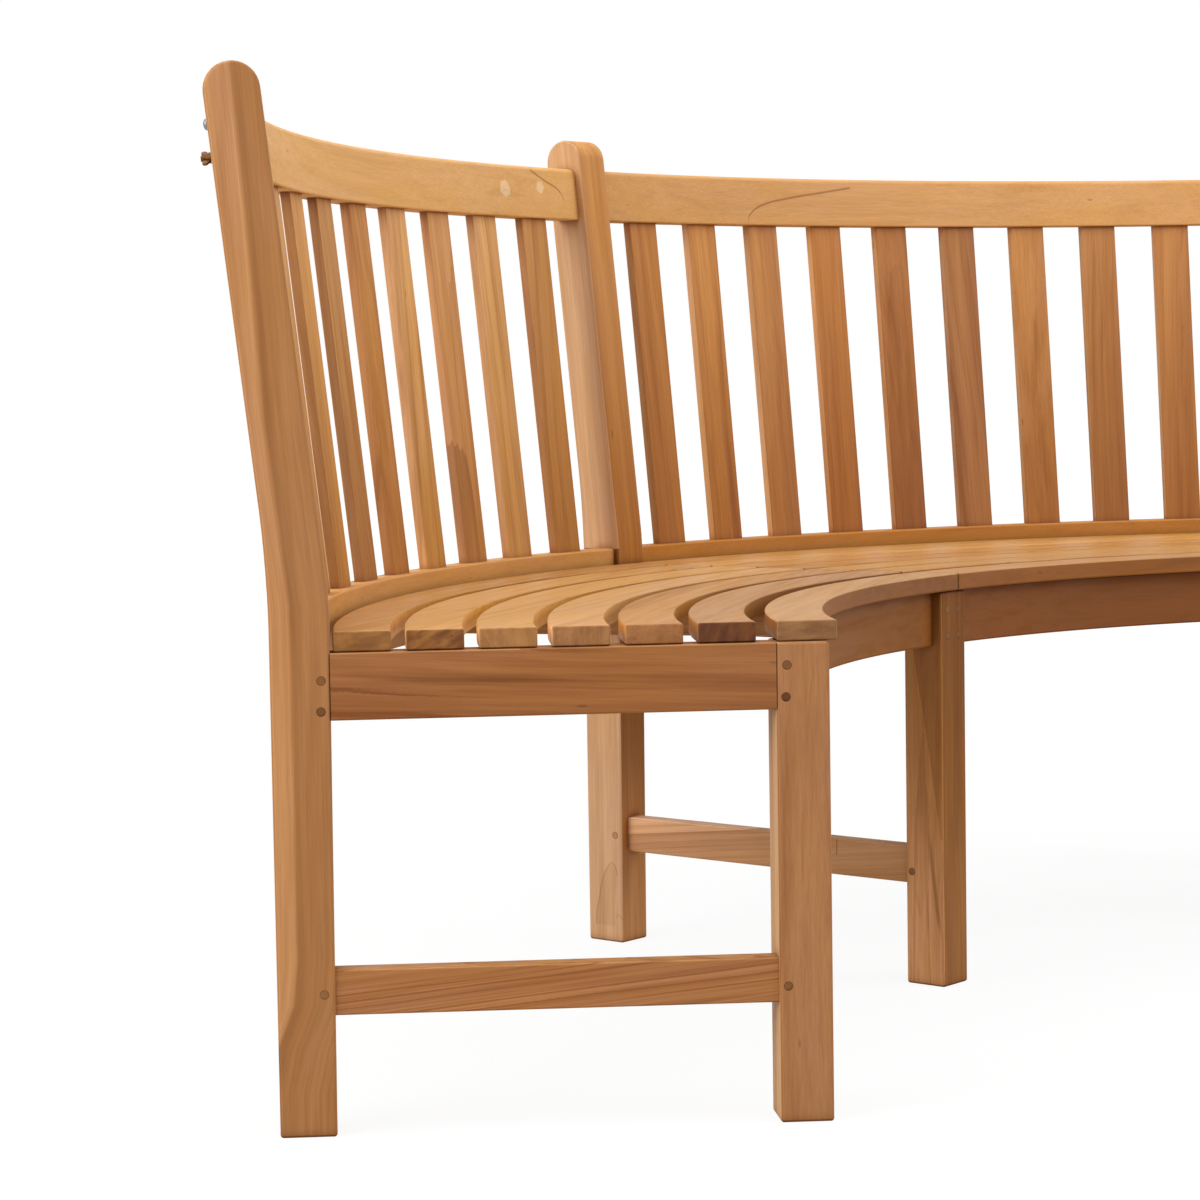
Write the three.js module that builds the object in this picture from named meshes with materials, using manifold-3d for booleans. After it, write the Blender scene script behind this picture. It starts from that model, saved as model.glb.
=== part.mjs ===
// A curved garden bench of solid teak: two bays of seat and back between three frames, which is a
// quarter of a ring of benches whose sitters face the middle of the ring.
// Millimetres, +Z up. +Y runs from the ring's middle out through the middle frame, and left and right
// are as seen from the ring's middle. Each frame and each bay is a group turned about the ring's axis,
// in which +Y is outwards and +X is to the right. The outer faces of the two end frames lie in planes
// through that axis, so that the next bench of the ring meets them all over. The joints are mortise and
// tenon: a mortise is its tenon's block grown by fitGap.
import * as THREE from 'three';
import { mergeVertices } from 'three/addons/utils/BufferGeometryUtils.js';
import Module from 'manifold-3d';

const wasm = await Module();
wasm.setup();

// The ring
const benchAngleDeg = 90; // between the outer faces of the two end frames
const boardSteps = 24; // facets along a curved board
const fitGap = 0.3; // between two pieces that meet
const overrun = 2; // by which a tenon is rooted in its board, and a drill passes a face

// Seat
const seatFrontRadius = 783;
const seatHeight = 428.5;
const seatSlatCount = 7;
const frontSlatWidth = 51;
const frontSlatGap = 17.8;
const seatSlatWidth = 49.1;
const seatSlatGap = 12.4;
const seatSlatThickness = 17.5;
const seatNose = 7; // by which the front slat stands out past the front legs
const seatEndInset = 2.5; // from the outer face of an end frame to the slats' ends
const seatSeam = 1.6; // between the slats of the two bays, over the middle frame

// Frames
const frameThickness = 45;
const legDepth = 45.8;
const postSeatClearance = 2; // from the rear slat to the posts
const postSeatDepth = 51.3;
const postTopDepth = 48.2; // level, above the bend
const postFootTaper = 3; // by which the front face leans back towards the foot
const postHeight = 903;
const postBendAboveSeat = 23;
const backLeanDeg = 6.25;
const postFrontBendRadius = 260;
const postRearBendRadius = 1000;
const bendSteps = 5;
const domeSteps = 12;
const sideApronThickness = 28;
const apronHeight = 57; // side and front aprons
const stretcherThickness = 22;
const stretcherSetback = 3; // from the outer face of an end frame
const stretcherHeight = 38.8;
const stretcherBottom = 103.3;

// Curved rails
const frontApronSetback = 11;
const frontApronThickness = 24;
const lowerRailSetback = 7;
const lowerRailThickness = 28;
const lowerRailHeight = 70;
const lowerRailAboveSeat = 17.3;
const topRailSetback = 9.5;
const topRailThickness = 29;
const topRailHeight = 57.8;
const topRailBelowPostTop = 32.3;
const topRailRound = 6; // radius of its two upper edges
const roundSteps = 3;

// Back slats
const backSlatCount = 9;
const backSlatWidth = 45.2;
const backSlatThickness = 10.6;
const backSlatFootSetback = 9.5; // from the front of the lower rail
const backSlatHeadSetback = 6.5; // from the front of the top rail
const backSlatTenon = 12;

// Battens that carry the seat slats at mid bay
const battenWidth = 32;
const battenHeight = 30;

// Tenons
const tenonThickness = 12;
const tenonShoulder = 7; // above and below a tenon
const tenonWall = 3; // least wood left between two mortises
const battenTenon = 10;

// Fittings behind the end posts, to which the next bench of the ring is coupled
const linkScrewBelowTop = 50.5;
const linkScrewHeadDiameter = 10;
const linkScrewHeadHeight = 3;
const linkScrewShankDiameter = 4;
const linkScrewShankLength = 22;
const studBelowTop = 78;
const studDiameter = 5;
const studDepth = 26;
const studReach = 9;
const nutBaseDiameter = 10;
const nutTopDiameter = 7.5;
const nutHeight = 5;
const wingSpan = 21;
const wingThickness = 2;
const wingLow = 1; // from the nut's base to the wings' lower edge
const wingHigh = 8.2;
const wingRound = 2.6;
const wingTurnDeg = 57; // of the wings from upright
const roundFacets = 20;

// Worked out from the sizes above
const radians = THREE.MathUtils.degToRad;
const bayAngle = radians(benchAngleDeg) / 2;
const backLean = radians(backLeanDeg);
const leanSlope = Math.tan(backLean);
const seatRearRadius = seatFrontRadius + frontSlatWidth + frontSlatGap
  + (seatSlatCount - 1) * seatSlatWidth + (seatSlatCount - 2) * seatSlatGap;
const legFront = seatFrontRadius + seatNose;
const legRear = legFront + legDepth;
const postFront = seatRearRadius + postSeatClearance;
const postRear = postFront + postSeatDepth;
const apronTop = seatHeight - seatSlatThickness - fitGap;
const apronBottom = apronTop - apronHeight;
const bendHeight = seatHeight + postBendAboveSeat;
const domeRadius = postTopDepth * Math.cos(backLean) / 2;
const railTenonLength = frameThickness / 2 - tenonWall;
const legTenonLength = legDepth - frontApronSetback - (frontApronThickness + tenonThickness) / 2 - tenonWall;
const postTenonLength = lowerRailSetback + (lowerRailThickness - tenonThickness) / 2 - tenonWall;
const lowerRailFront = postFront + lowerRailSetback;
const battenSag = fitGap + lowerRailFront - Math.sqrt(lowerRailFront ** 2 - (battenWidth / 2) ** 2);

const teak = (colour) => new THREE.MeshStandardMaterial({ color: colour, roughness: 0.62, metalness: 0 });
const frameTeak = teak('#a8703f');
const railTeak = teak('#c68f58');
const slatTeak = teak('#a96f3e');
const seatTeak = teak('#cb9a66');
const bronze = new THREE.MeshStandardMaterial({ color: '#6b4423', roughness: 0.45, metalness: 1 });
const steel = new THREE.MeshStandardMaterial({ color: '#8a8286', roughness: 0.4, metalness: 1 });

// Solids

function toSolid(geometry) {
  const bare = geometry.clone();
  bare.deleteAttribute('normal');
  bare.deleteAttribute('uv');
  const merged = mergeVertices(bare);
  return new wasm.Manifold(new wasm.Mesh({
    numProp: 3,
    vertProperties: new Float32Array(merged.attributes.position.array),
    triVerts: new Uint32Array(merged.index.array),
  }));
}

function toGeometry(solid) {
  const { vertProperties, triVerts } = solid.getMesh();
  const geometry = new THREE.BufferGeometry();
  geometry.setAttribute('position', new THREE.BufferAttribute(vertProperties, 3));
  geometry.setIndex(new THREE.BufferAttribute(triVerts, 1));
  geometry.computeVertexNormals();
  return geometry;
}

function cutAndJoin(geometry, cutters, additions = []) {
  let solid = toSolid(geometry);
  for (const addition of additions) solid = solid.add(toSolid(addition));
  for (const cutter of cutters) solid = solid.subtract(toSolid(cutter));
  return toGeometry(solid);
}

// A block between two corners, each [x, y, z], grown on all sides.
function block(low, high, growth = 0) {
  const size = high.map((value, axis) => value - low[axis] + 2 * growth);
  const middle = high.map((value, axis) => (value + low[axis]) / 2);
  return new THREE.BoxGeometry(...size).translate(...middle);
}

// An outline of [y, z] points, drawn anticlockwise as seen from +X, given a thickness about x = middle.
function plate(outline, thickness, middle = 0) {
  const shape = new THREE.Shape(outline.map(([y, z]) => new THREE.Vector2(y, z)));
  const geometry = new THREE.ExtrudeGeometry(shape, { depth: thickness, bevelEnabled: false });
  const toFrame = new THREE.Matrix4().makeBasis(
    new THREE.Vector3(0, 1, 0), new THREE.Vector3(0, 0, 1), new THREE.Vector3(1, 0, 0));
  return geometry.applyMatrix4(toFrame).translate(middle - thickness / 2, 0, 0);
}

// A board that follows the ring across a bay. Its section is [radius, height] points, anticlockwise as
// seen from +X. Each end is cut parallel to the frame there, at a distance into the bay from the plane
// through the ring's axis.
function curvedBoard(section, leftEnd, rightEnd) {
  const positions = [];
  const indices = [];
  const count = section.length;
  for (let step = 0; step <= boardSteps; step += 1) {
    for (const [radius, height] of section) {
      const from = Math.asin(leftEnd / radius) - bayAngle / 2;
      const to = bayAngle / 2 - Math.asin(rightEnd / radius);
      const angle = from + (to - from) * step / boardSteps;
      positions.push(radius * Math.sin(angle), radius * Math.cos(angle), height);
    }
  }
  for (let step = 0; step < boardSteps; step += 1) {
    for (let corner = 0; corner < count; corner += 1) {
      const a = step * count + corner;
      const b = step * count + (corner + 1) % count;
      indices.push(a, b, b + count, a, b + count, a + count);
    }
  }
  const caps = THREE.ShapeUtils.triangulateShape(section.map(([r, z]) => new THREE.Vector2(r, z)), []);
  const last = boardSteps * count;
  for (const [a, b, c] of caps) indices.push(a, c, b, last + a, last + b, last + c);
  const geometry = new THREE.BufferGeometry();
  geometry.setAttribute('position', new THREE.Float32BufferAttribute(positions, 3));
  geometry.setIndex(indices);
  geometry.computeVertexNormals();
  return geometry;
}

const rectangle = (inner, outer, bottom, top) => [[inner, bottom], [outer, bottom], [outer, top], [inner, top]];

// Points of an arc about a middle, in a plane, from one angle to another.
function arc([x, y], radius, from, to, steps) {
  const points = [];
  for (let step = 0; step <= steps; step += 1) {
    const angle = from + (to - from) * step / steps;
    points.push([x + radius * Math.cos(angle), y + radius * Math.sin(angle)]);
  }
  return points;
}

function place(parent, name, geometry, material) {
  const mesh = new THREE.Mesh(geometry, material);
  mesh.name = name;
  parent.add(mesh);
  return mesh;
}

// Posts: upright to the seat, then leaning out, with a round top

const postFootFront = postFront + postFootTaper;
const postFaceAt = (height) => (height < bendHeight
  ? postFootFront - postFootTaper * height / bendHeight
  : postFront + (height - bendHeight) * leanSlope);
const rearBendHeight = bendHeight + (postRear - postFront - postTopDepth) / leanSlope;
const domeMiddle = [postFaceAt(postHeight - domeRadius) + postTopDepth / 2, postHeight - domeRadius];

function postOutline() {
  const frontTurn = Math.atan(postFootTaper / bendHeight);
  const frontTangent = postFrontBendRadius * Math.tan((backLean + frontTurn) / 2);
  const frontStart = bendHeight - frontTangent * Math.cos(frontTurn);
  const rearStart = rearBendHeight - postRearBendRadius * Math.tan(backLean / 2);
  const frontBend = arc(
    [postFaceAt(frontStart) + postFrontBendRadius * Math.cos(frontTurn),
      frontStart + postFrontBendRadius * Math.sin(frontTurn)],
    postFrontBendRadius, Math.PI + frontTurn, Math.PI - backLean, bendSteps);
  const rearBend = arc([postRear + postRearBendRadius, rearStart], postRearBendRadius,
    Math.PI, Math.PI - backLean, bendSteps);
  const dome = arc(domeMiddle, domeRadius, -backLean, Math.PI - backLean, domeSteps);
  return [[postFootFront, 0], [postRear, 0], ...rearBend, ...dome, ...frontBend.reverse()];
}

// Rails, as their sections and the tenons at their two ends

const frontApron = rectangle(legFront + frontApronSetback, legFront + frontApronSetback + frontApronThickness,
  apronBottom, apronTop);
const lowerRailTop = seatHeight + lowerRailAboveSeat;
const lowerRailBottom = lowerRailTop - lowerRailHeight;
const lowerRail = rectangle(lowerRailFront, lowerRailFront + lowerRailThickness, lowerRailBottom, lowerRailTop);

// The top rail leans with the posts, but its underside is level. Its own axes run through its thickness
// and up its front face.
const topRailCorner = [0, postHeight - topRailBelowPostTop - topRailHeight * Math.cos(backLean)];
topRailCorner[0] = postFaceAt(topRailCorner[1]) + topRailSetback;
const onTopRail = (through, up) => [
  topRailCorner[0] + through * Math.cos(backLean) + up * Math.sin(backLean),
  topRailCorner[1] - through * Math.sin(backLean) + up * Math.cos(backLean)];
const topRail = [
  [0, 0],
  [topRailThickness, topRailThickness * leanSlope],
  ...arc([topRailThickness - topRailRound, topRailHeight - topRailRound], topRailRound,
    0, Math.PI / 2, roundSteps),
  ...arc([topRailRound, topRailHeight - topRailRound], topRailRound, Math.PI / 2, Math.PI, roundSteps),
].map(([through, up]) => onTopRail(through, up));

// A rail's tenon in its frame's group, on the left of the frame where side is -1 and on its right where
// it is 1. The rail's section lies between two corners, each [radius, height].
function railTenon([inner, bottom], [outer, top], side, growth = 0) {
  const tip = frameThickness / 2 - railTenonLength;
  const root = frameThickness / 2 + fitGap + overrun;
  const middle = (inner + outer) / 2;
  return block(
    [side < 0 ? -root : tip, middle - tenonThickness / 2, bottom + tenonShoulder],
    [side < 0 ? -tip : root, middle + tenonThickness / 2, top - tenonShoulder],
    growth);
}

const frontApronTenon = (side, growth) => railTenon(frontApron[0], frontApron[2], side, growth);
const lowerRailTenon = (side, growth) => railTenon(lowerRail[0], lowerRail[2], side, growth);

// The top rail's tenon is that of an upright rail, leant with it about its lower front corner.
function topRailTenon(side, growth) {
  const [radius, height] = topRailCorner;
  return railTenon([0, 0], [topRailThickness, topRailHeight], side, growth)
    .rotateX(-backLean).translate(0, radius, height);
}

// Members that run front to back in a frame, at a height and about x = middle

function memberTenons(bottom, top, middle, growth = 0) {
  const low = bottom + tenonShoulder;
  const high = top - tenonShoulder;
  const left = middle - tenonThickness / 2;
  const right = middle + tenonThickness / 2;
  return {
    leg: block([left, legRear - legTenonLength, low], [right, legRear + fitGap + overrun, high], growth),
    post: block([left, postFront - fitGap - overrun, low], [right, postFront + postTenonLength, high], growth),
  };
}

function frameMember(bottom, top, thickness, middle) {
  const outline = [
    [legRear + fitGap, bottom],
    [postFaceAt(bottom) - fitGap, bottom],
    [postFaceAt(top) - fitGap, top],
    [legRear + fitGap, top],
  ];
  const tenons = memberTenons(bottom, top, middle);
  return cutAndJoin(plate(outline, thickness, middle), [], [tenons.leg, tenons.post]);
}

// Back slats: straight, from the top of the lower rail to the underside of the top rail

const slatFoot = [lowerRailFront + backSlatFootSetback + backSlatThickness / 2, lowerRailTop];
const slatHead = [postFaceAt(topRailCorner[1]) + topRailSetback
  + (backSlatHeadSetback + backSlatThickness / 2) / Math.cos(backLean), topRailCorner[1]];
const slatRise = Math.hypot(slatHead[0] - slatFoot[0], slatHead[1] - slatFoot[1]);
const slatLean = Math.atan2(slatHead[0] - slatFoot[0], slatHead[1] - slatFoot[1]);

function backSlat(growth = 0) {
  return block(
    [-backSlatWidth / 2, -backSlatThickness / 2, -backSlatTenon],
    [backSlatWidth / 2, backSlatThickness / 2, slatRise + backSlatTenon],
    growth);
}

// The angles of a bay's back slats, to the right of its middle. They leave equal gaps between the posts,
// whose faces are at these distances from the planes at the bay's two sides.
function backSlatAngles(leftFace, rightFace) {
  const left = Math.asin(leftFace / slatFoot[0]) - bayAngle / 2;
  const right = bayAngle / 2 - Math.asin(rightFace / slatFoot[0]);
  const width = backSlatWidth / slatFoot[0];
  const gap = (right - left - backSlatCount * width) / (backSlatCount + 1);
  return Array.from({ length: backSlatCount }, (_, index) => left + gap + width / 2 + index * (gap + width));
}

function atAngle(angle, radius, height, lean) {
  const turned = new THREE.Matrix4().makeRotationZ(-angle);
  const moved = new THREE.Matrix4().makeTranslation(0, radius, height);
  return turned.multiply(moved).multiply(new THREE.Matrix4().makeRotationX(-lean));
}

// Battens, under the seat at the middle slat of the back

const battenBottom = apronTop - battenHeight;
const battenFront = frontApron[1][0];

function battenTenons(growth = 0) {
  const half = tenonThickness / 2;
  const low = battenBottom + tenonShoulder;
  const high = apronTop - tenonShoulder;
  return [
    block([-half, battenFront - battenTenon, low], [half, battenFront + battenSag + overrun, high], growth),
    block([-half, lowerRailFront - battenSag - overrun, low], [half, lowerRailFront + battenTenon, high], growth),
  ];
}

// A batten's ends are square, so they stop short of the rail and the apron, whose faces curve away.
function batten() {
  const low = [-battenWidth / 2, battenFront + fitGap, battenBottom];
  const high = [battenWidth / 2, lowerRailFront - battenSag, apronTop];
  return cutAndJoin(block(low, high), [], battenTenons());
}

// Fittings, standing up +Y from the face that holds them

function roundHole(diameter, depth) {
  const radius = diameter / 2 + fitGap;
  return new THREE.CylinderGeometry(radius, radius, depth + fitGap + overrun, roundFacets)
    .translate(0, (overrun - depth - fitGap) / 2, 0);
}

function linkScrew() {
  const head = linkScrewHeadDiameter / 2;
  const shank = linkScrewShankDiameter / 2;
  const crown = arc([0, 0], 1, 0, Math.PI / 2, domeSteps / 2)
    .map(([x, y]) => [x * head, fitGap + y * linkScrewHeadHeight]);
  const profile = [[0, -linkScrewShankLength], [shank, -linkScrewShankLength], [shank, fitGap], ...crown];
  profile[profile.length - 1][0] = 0;
  return new THREE.LatheGeometry(profile.map(([x, y]) => new THREE.Vector2(x, y)), roundFacets);
}

function hangerStud() {
  return new THREE.CylinderGeometry(studDiameter / 2, studDiameter / 2, studDepth + studReach, roundFacets)
    .translate(0, (studReach - studDepth) / 2, 0);
}

function wingNut() {
  const base = nutBaseDiameter / 2;
  const crown = nutTopDiameter / 2;
  const bore = studDiameter / 2 + fitGap;
  const hub = new THREE.LatheGeometry(
    [[bore, fitGap], [base, fitGap], [crown, nutHeight], [bore, nutHeight], [bore, fitGap]]
      .map(([x, y]) => new THREE.Vector2(x, y)), roundFacets);
  const tip = wingSpan / 2;
  const root = (bore + base) / 2;
  const wingOutline = [
    [root, wingLow],
    [base, wingLow],
    ...arc([tip - wingRound, wingHigh - wingRound], wingRound, -Math.PI / 4, Math.PI * 3 / 4, domeSteps / 2),
    [root, nutHeight - wingLow],
  ];
  const shape = new THREE.Shape(wingOutline.map(([x, y]) => new THREE.Vector2(x, y)));
  const wing = new THREE.ExtrudeGeometry(shape, { depth: wingThickness, bevelEnabled: false })
    .translate(0, 0, -wingThickness / 2);
  return cutAndJoin(hub, [], [wing, wing.clone().rotateY(Math.PI)]);
}

// A fitting's seat on the rear face of a post, at a distance below the post's top.
function onPostRear(belowTop) {
  const height = postHeight - belowTop;
  return atAngle(0, postFaceAt(height) + postTopDepth, height, backLean);
}

const fittingHoles = () => [
  roundHole(linkScrewShankDiameter, linkScrewShankLength).applyMatrix4(onPostRear(linkScrewBelowTop)),
  roundHole(studDiameter, studDepth).applyMatrix4(onPostRear(studBelowTop)),
];

// Assemblies

// bays lists the sides on which the frame has a bay: -1 left, 1 right.
function frame(name, bays) {
  const group = new THREE.Group();
  const atEnd = bays.length === 1;
  const half = frameThickness / 2;
  const apronMiddle = atEnd ? bays[0] * (sideApronThickness / 2 - half) : 0;
  const stretcherMiddle = atEnd ? bays[0] * (stretcherSetback + stretcherThickness / 2 - half) : 0;
  const stretcherTop = stretcherBottom + stretcherHeight;
  const apronMortises = memberTenons(apronBottom, apronTop, apronMiddle, fitGap);
  const stretcherMortises = memberTenons(stretcherBottom, stretcherTop, stretcherMiddle, fitGap);
  const postCutters = [apronMortises.post, stretcherMortises.post];
  const legCutters = [apronMortises.leg, stretcherMortises.leg];
  for (const side of bays) {
    postCutters.push(lowerRailTenon(side, fitGap), topRailTenon(side, fitGap));
    legCutters.push(frontApronTenon(side, fitGap));
  }
  if (atEnd) postCutters.push(...fittingHoles());

  place(group, `back_post_${name}`, cutAndJoin(plate(postOutline(), frameThickness), postCutters), frameTeak);
  const leg = block([-half, legFront, 0], [half, legRear, apronTop]);
  place(group, `front_leg_${name}`, cutAndJoin(leg, legCutters), frameTeak);
  const apron = frameMember(apronBottom, apronTop, sideApronThickness, apronMiddle);
  place(group, `side_apron_${name}`, apron, frameTeak);
  const stretcher = frameMember(stretcherBottom, stretcherTop, stretcherThickness, stretcherMiddle);
  place(group, `side_stretcher_${name}`, stretcher, frameTeak);
  if (atEnd) addFittings(group, name, bays[0]);
  return group;
}

function addFittings(group, name, side) {
  const screwSeat = new THREE.Group();
  screwSeat.applyMatrix4(onPostRear(linkScrewBelowTop));
  place(screwSeat, `link_screw_${name}`, linkScrew(), steel);
  const studSeat = new THREE.Group();
  studSeat.applyMatrix4(onPostRear(studBelowTop));
  place(studSeat, `hanger_stud_${name}`, hangerStud(), bronze);
  place(studSeat, `wing_nut_${name}`, wingNut(), bronze).rotation.y = side * (Math.PI / 2 + radians(wingTurnDeg));
  group.add(screwSeat, studSeat);
}

// end is the side of the bay on which the bench ends: -1 left, 1 right.
function bay(name, end) {
  const group = new THREE.Group();
  const half = frameThickness / 2;
  const leftFace = end < 0 ? frameThickness : half;
  const rightFace = end < 0 ? half : frameThickness;
  const inLeftFrame = (geometry) => geometry.translate(leftFace - half, 0, 0).rotateZ(bayAngle / 2);
  const inRightFrame = (geometry) => geometry.translate(half - rightFace, 0, 0).rotateZ(-bayAngle / 2);
  const rail = (section, tenon, cutters) => cutAndJoin(
    curvedBoard(section, leftFace + fitGap, rightFace + fitGap), cutters,
    [inLeftFrame(tenon(1)), inRightFrame(tenon(-1))]);

  const slatAngles = backSlatAngles(leftFace, rightFace);
  const slatPlaces = slatAngles.map((angle) => atAngle(angle, ...slatFoot, slatLean));
  const slatMortises = () => slatPlaces.map((seat) => backSlat(fitGap).applyMatrix4(seat));
  const battenPlace = atAngle(slatAngles[(backSlatCount - 1) / 2], 0, 0, 0);
  const [apronMortise, railMortise] = battenTenons(fitGap).map((mortise) => mortise.applyMatrix4(battenPlace));

  place(group, `front_apron_${name}`, rail(frontApron, frontApronTenon, [apronMortise]), railTeak);
  place(group, `lower_back_rail_${name}`,
    rail(lowerRail, lowerRailTenon, [railMortise, ...slatMortises()]), railTeak);
  place(group, `top_rail_${name}`, rail(topRail, topRailTenon, slatMortises()), railTeak);
  place(group, `seat_batten_${name}`, batten(), frameTeak).applyMatrix4(battenPlace);
  slatPlaces.forEach((seat, index) => {
    place(group, `back_slat_${name}_${index + 1}`, backSlat(), slatTeak).applyMatrix4(seat);
  });

  const ends = end < 0 ? [seatEndInset, seatSeam / 2] : [seatSeam / 2, seatEndInset];
  let inner = seatFrontRadius;
  for (let index = 0; index < seatSlatCount; index += 1) {
    const outer = inner + (index ? seatSlatWidth : frontSlatWidth);
    const section = rectangle(inner, outer, seatHeight - seatSlatThickness, seatHeight);
    place(group, `seat_slat_${name}_${index + 1}`, curvedBoard(section, ...ends), seatTeak);
    inner = outer + (index ? seatSlatGap : frontSlatGap);
  }
  return group;
}

function bench() {
  const ring = new THREE.Group();
  const frames = [['left', [1]], ['middle', [-1, 1]], ['right', [-1]]];
  frames.forEach(([name, bays], index) => {
    const group = frame(name, bays);
    group.rotation.z = (1 - index) * bayAngle;
    if (bays.length === 1) group.translateX(bays[0] * frameThickness / 2);
    ring.add(group);
  });
  for (const [name, end] of [['left', -1], ['right', 1]]) {
    const group = bay(name, end);
    group.rotation.z = -end * bayAngle / 2;
    ring.add(group);
  }
  // The origin is on the ground, under the middle of the bench's box.
  ring.updateMatrixWorld(true);
  const box = new THREE.Box3().setFromObject(ring, true);
  ring.position.y = -(box.min.y + box.max.y) / 2;
  const whole = new THREE.Group();
  whole.add(ring);
  return whole;
}

export default bench();
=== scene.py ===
"""A curved garden bench of solid teak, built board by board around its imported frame, with its finishes
and a small photo studio. Metres, +Z up. Boards are modelled in ring coordinates, in which the ring's
axis is the Z axis and +Y is outwards, and are then turned into their frame or bay."""

import math
import random

import bmesh
import bpy
from bpy.props import FloatProperty, FloatVectorProperty, IntProperty, PointerProperty
from mathutils import Matrix, Vector


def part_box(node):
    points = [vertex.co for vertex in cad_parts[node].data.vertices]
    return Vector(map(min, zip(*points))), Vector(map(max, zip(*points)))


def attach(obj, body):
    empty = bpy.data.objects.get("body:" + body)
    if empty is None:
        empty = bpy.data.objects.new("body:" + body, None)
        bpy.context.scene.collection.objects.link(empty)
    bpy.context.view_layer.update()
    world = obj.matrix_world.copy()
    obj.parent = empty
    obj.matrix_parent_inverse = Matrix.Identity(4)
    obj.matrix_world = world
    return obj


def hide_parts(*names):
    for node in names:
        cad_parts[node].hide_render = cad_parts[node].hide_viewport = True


bl_info = {
    "name": "Curved Garden Bench",
    "version": (1, 0, 0),
    "blender": (4, 5, 0),
    "location": "3D View > Sidebar > Bench",
    "description": "A quarter-ring teak bench, its finishes and a photo studio",
    "category": "Add Mesh",
}

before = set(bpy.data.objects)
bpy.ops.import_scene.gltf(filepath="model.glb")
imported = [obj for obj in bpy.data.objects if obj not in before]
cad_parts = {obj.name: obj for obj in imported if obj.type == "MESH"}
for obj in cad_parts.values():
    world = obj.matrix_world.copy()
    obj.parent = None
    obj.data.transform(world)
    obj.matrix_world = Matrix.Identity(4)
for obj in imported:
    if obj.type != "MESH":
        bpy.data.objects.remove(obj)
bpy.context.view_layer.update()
LEG_LOW, LEG_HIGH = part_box("front_leg_middle")
POST_LOW, POST_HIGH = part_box("back_post_middle")

BODY = "root"
SIDES = ("left", "middle", "right")
BAYS = (("left", -1), ("right", 1))
LEG_FRONT_RADIUS = 0.79
TOP_RAIL_RADIUS = 1.27
SHARP = math.radians(40)
TINY = 0.0001


def length(name, description, default):
    return FloatProperty(name=name, description=description, default=default, unit="LENGTH")


def rotation(name, description, degrees):
    return FloatProperty(name=name, description=description, default=math.radians(degrees), subtype="ANGLE")


def count(name, description, default):
    return IntProperty(name=name, description=description, default=default)


def colour(name, description, default):
    return FloatVectorProperty(name=name, description=description, default=default, subtype="COLOR",
                               min=0, max=1)


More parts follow.
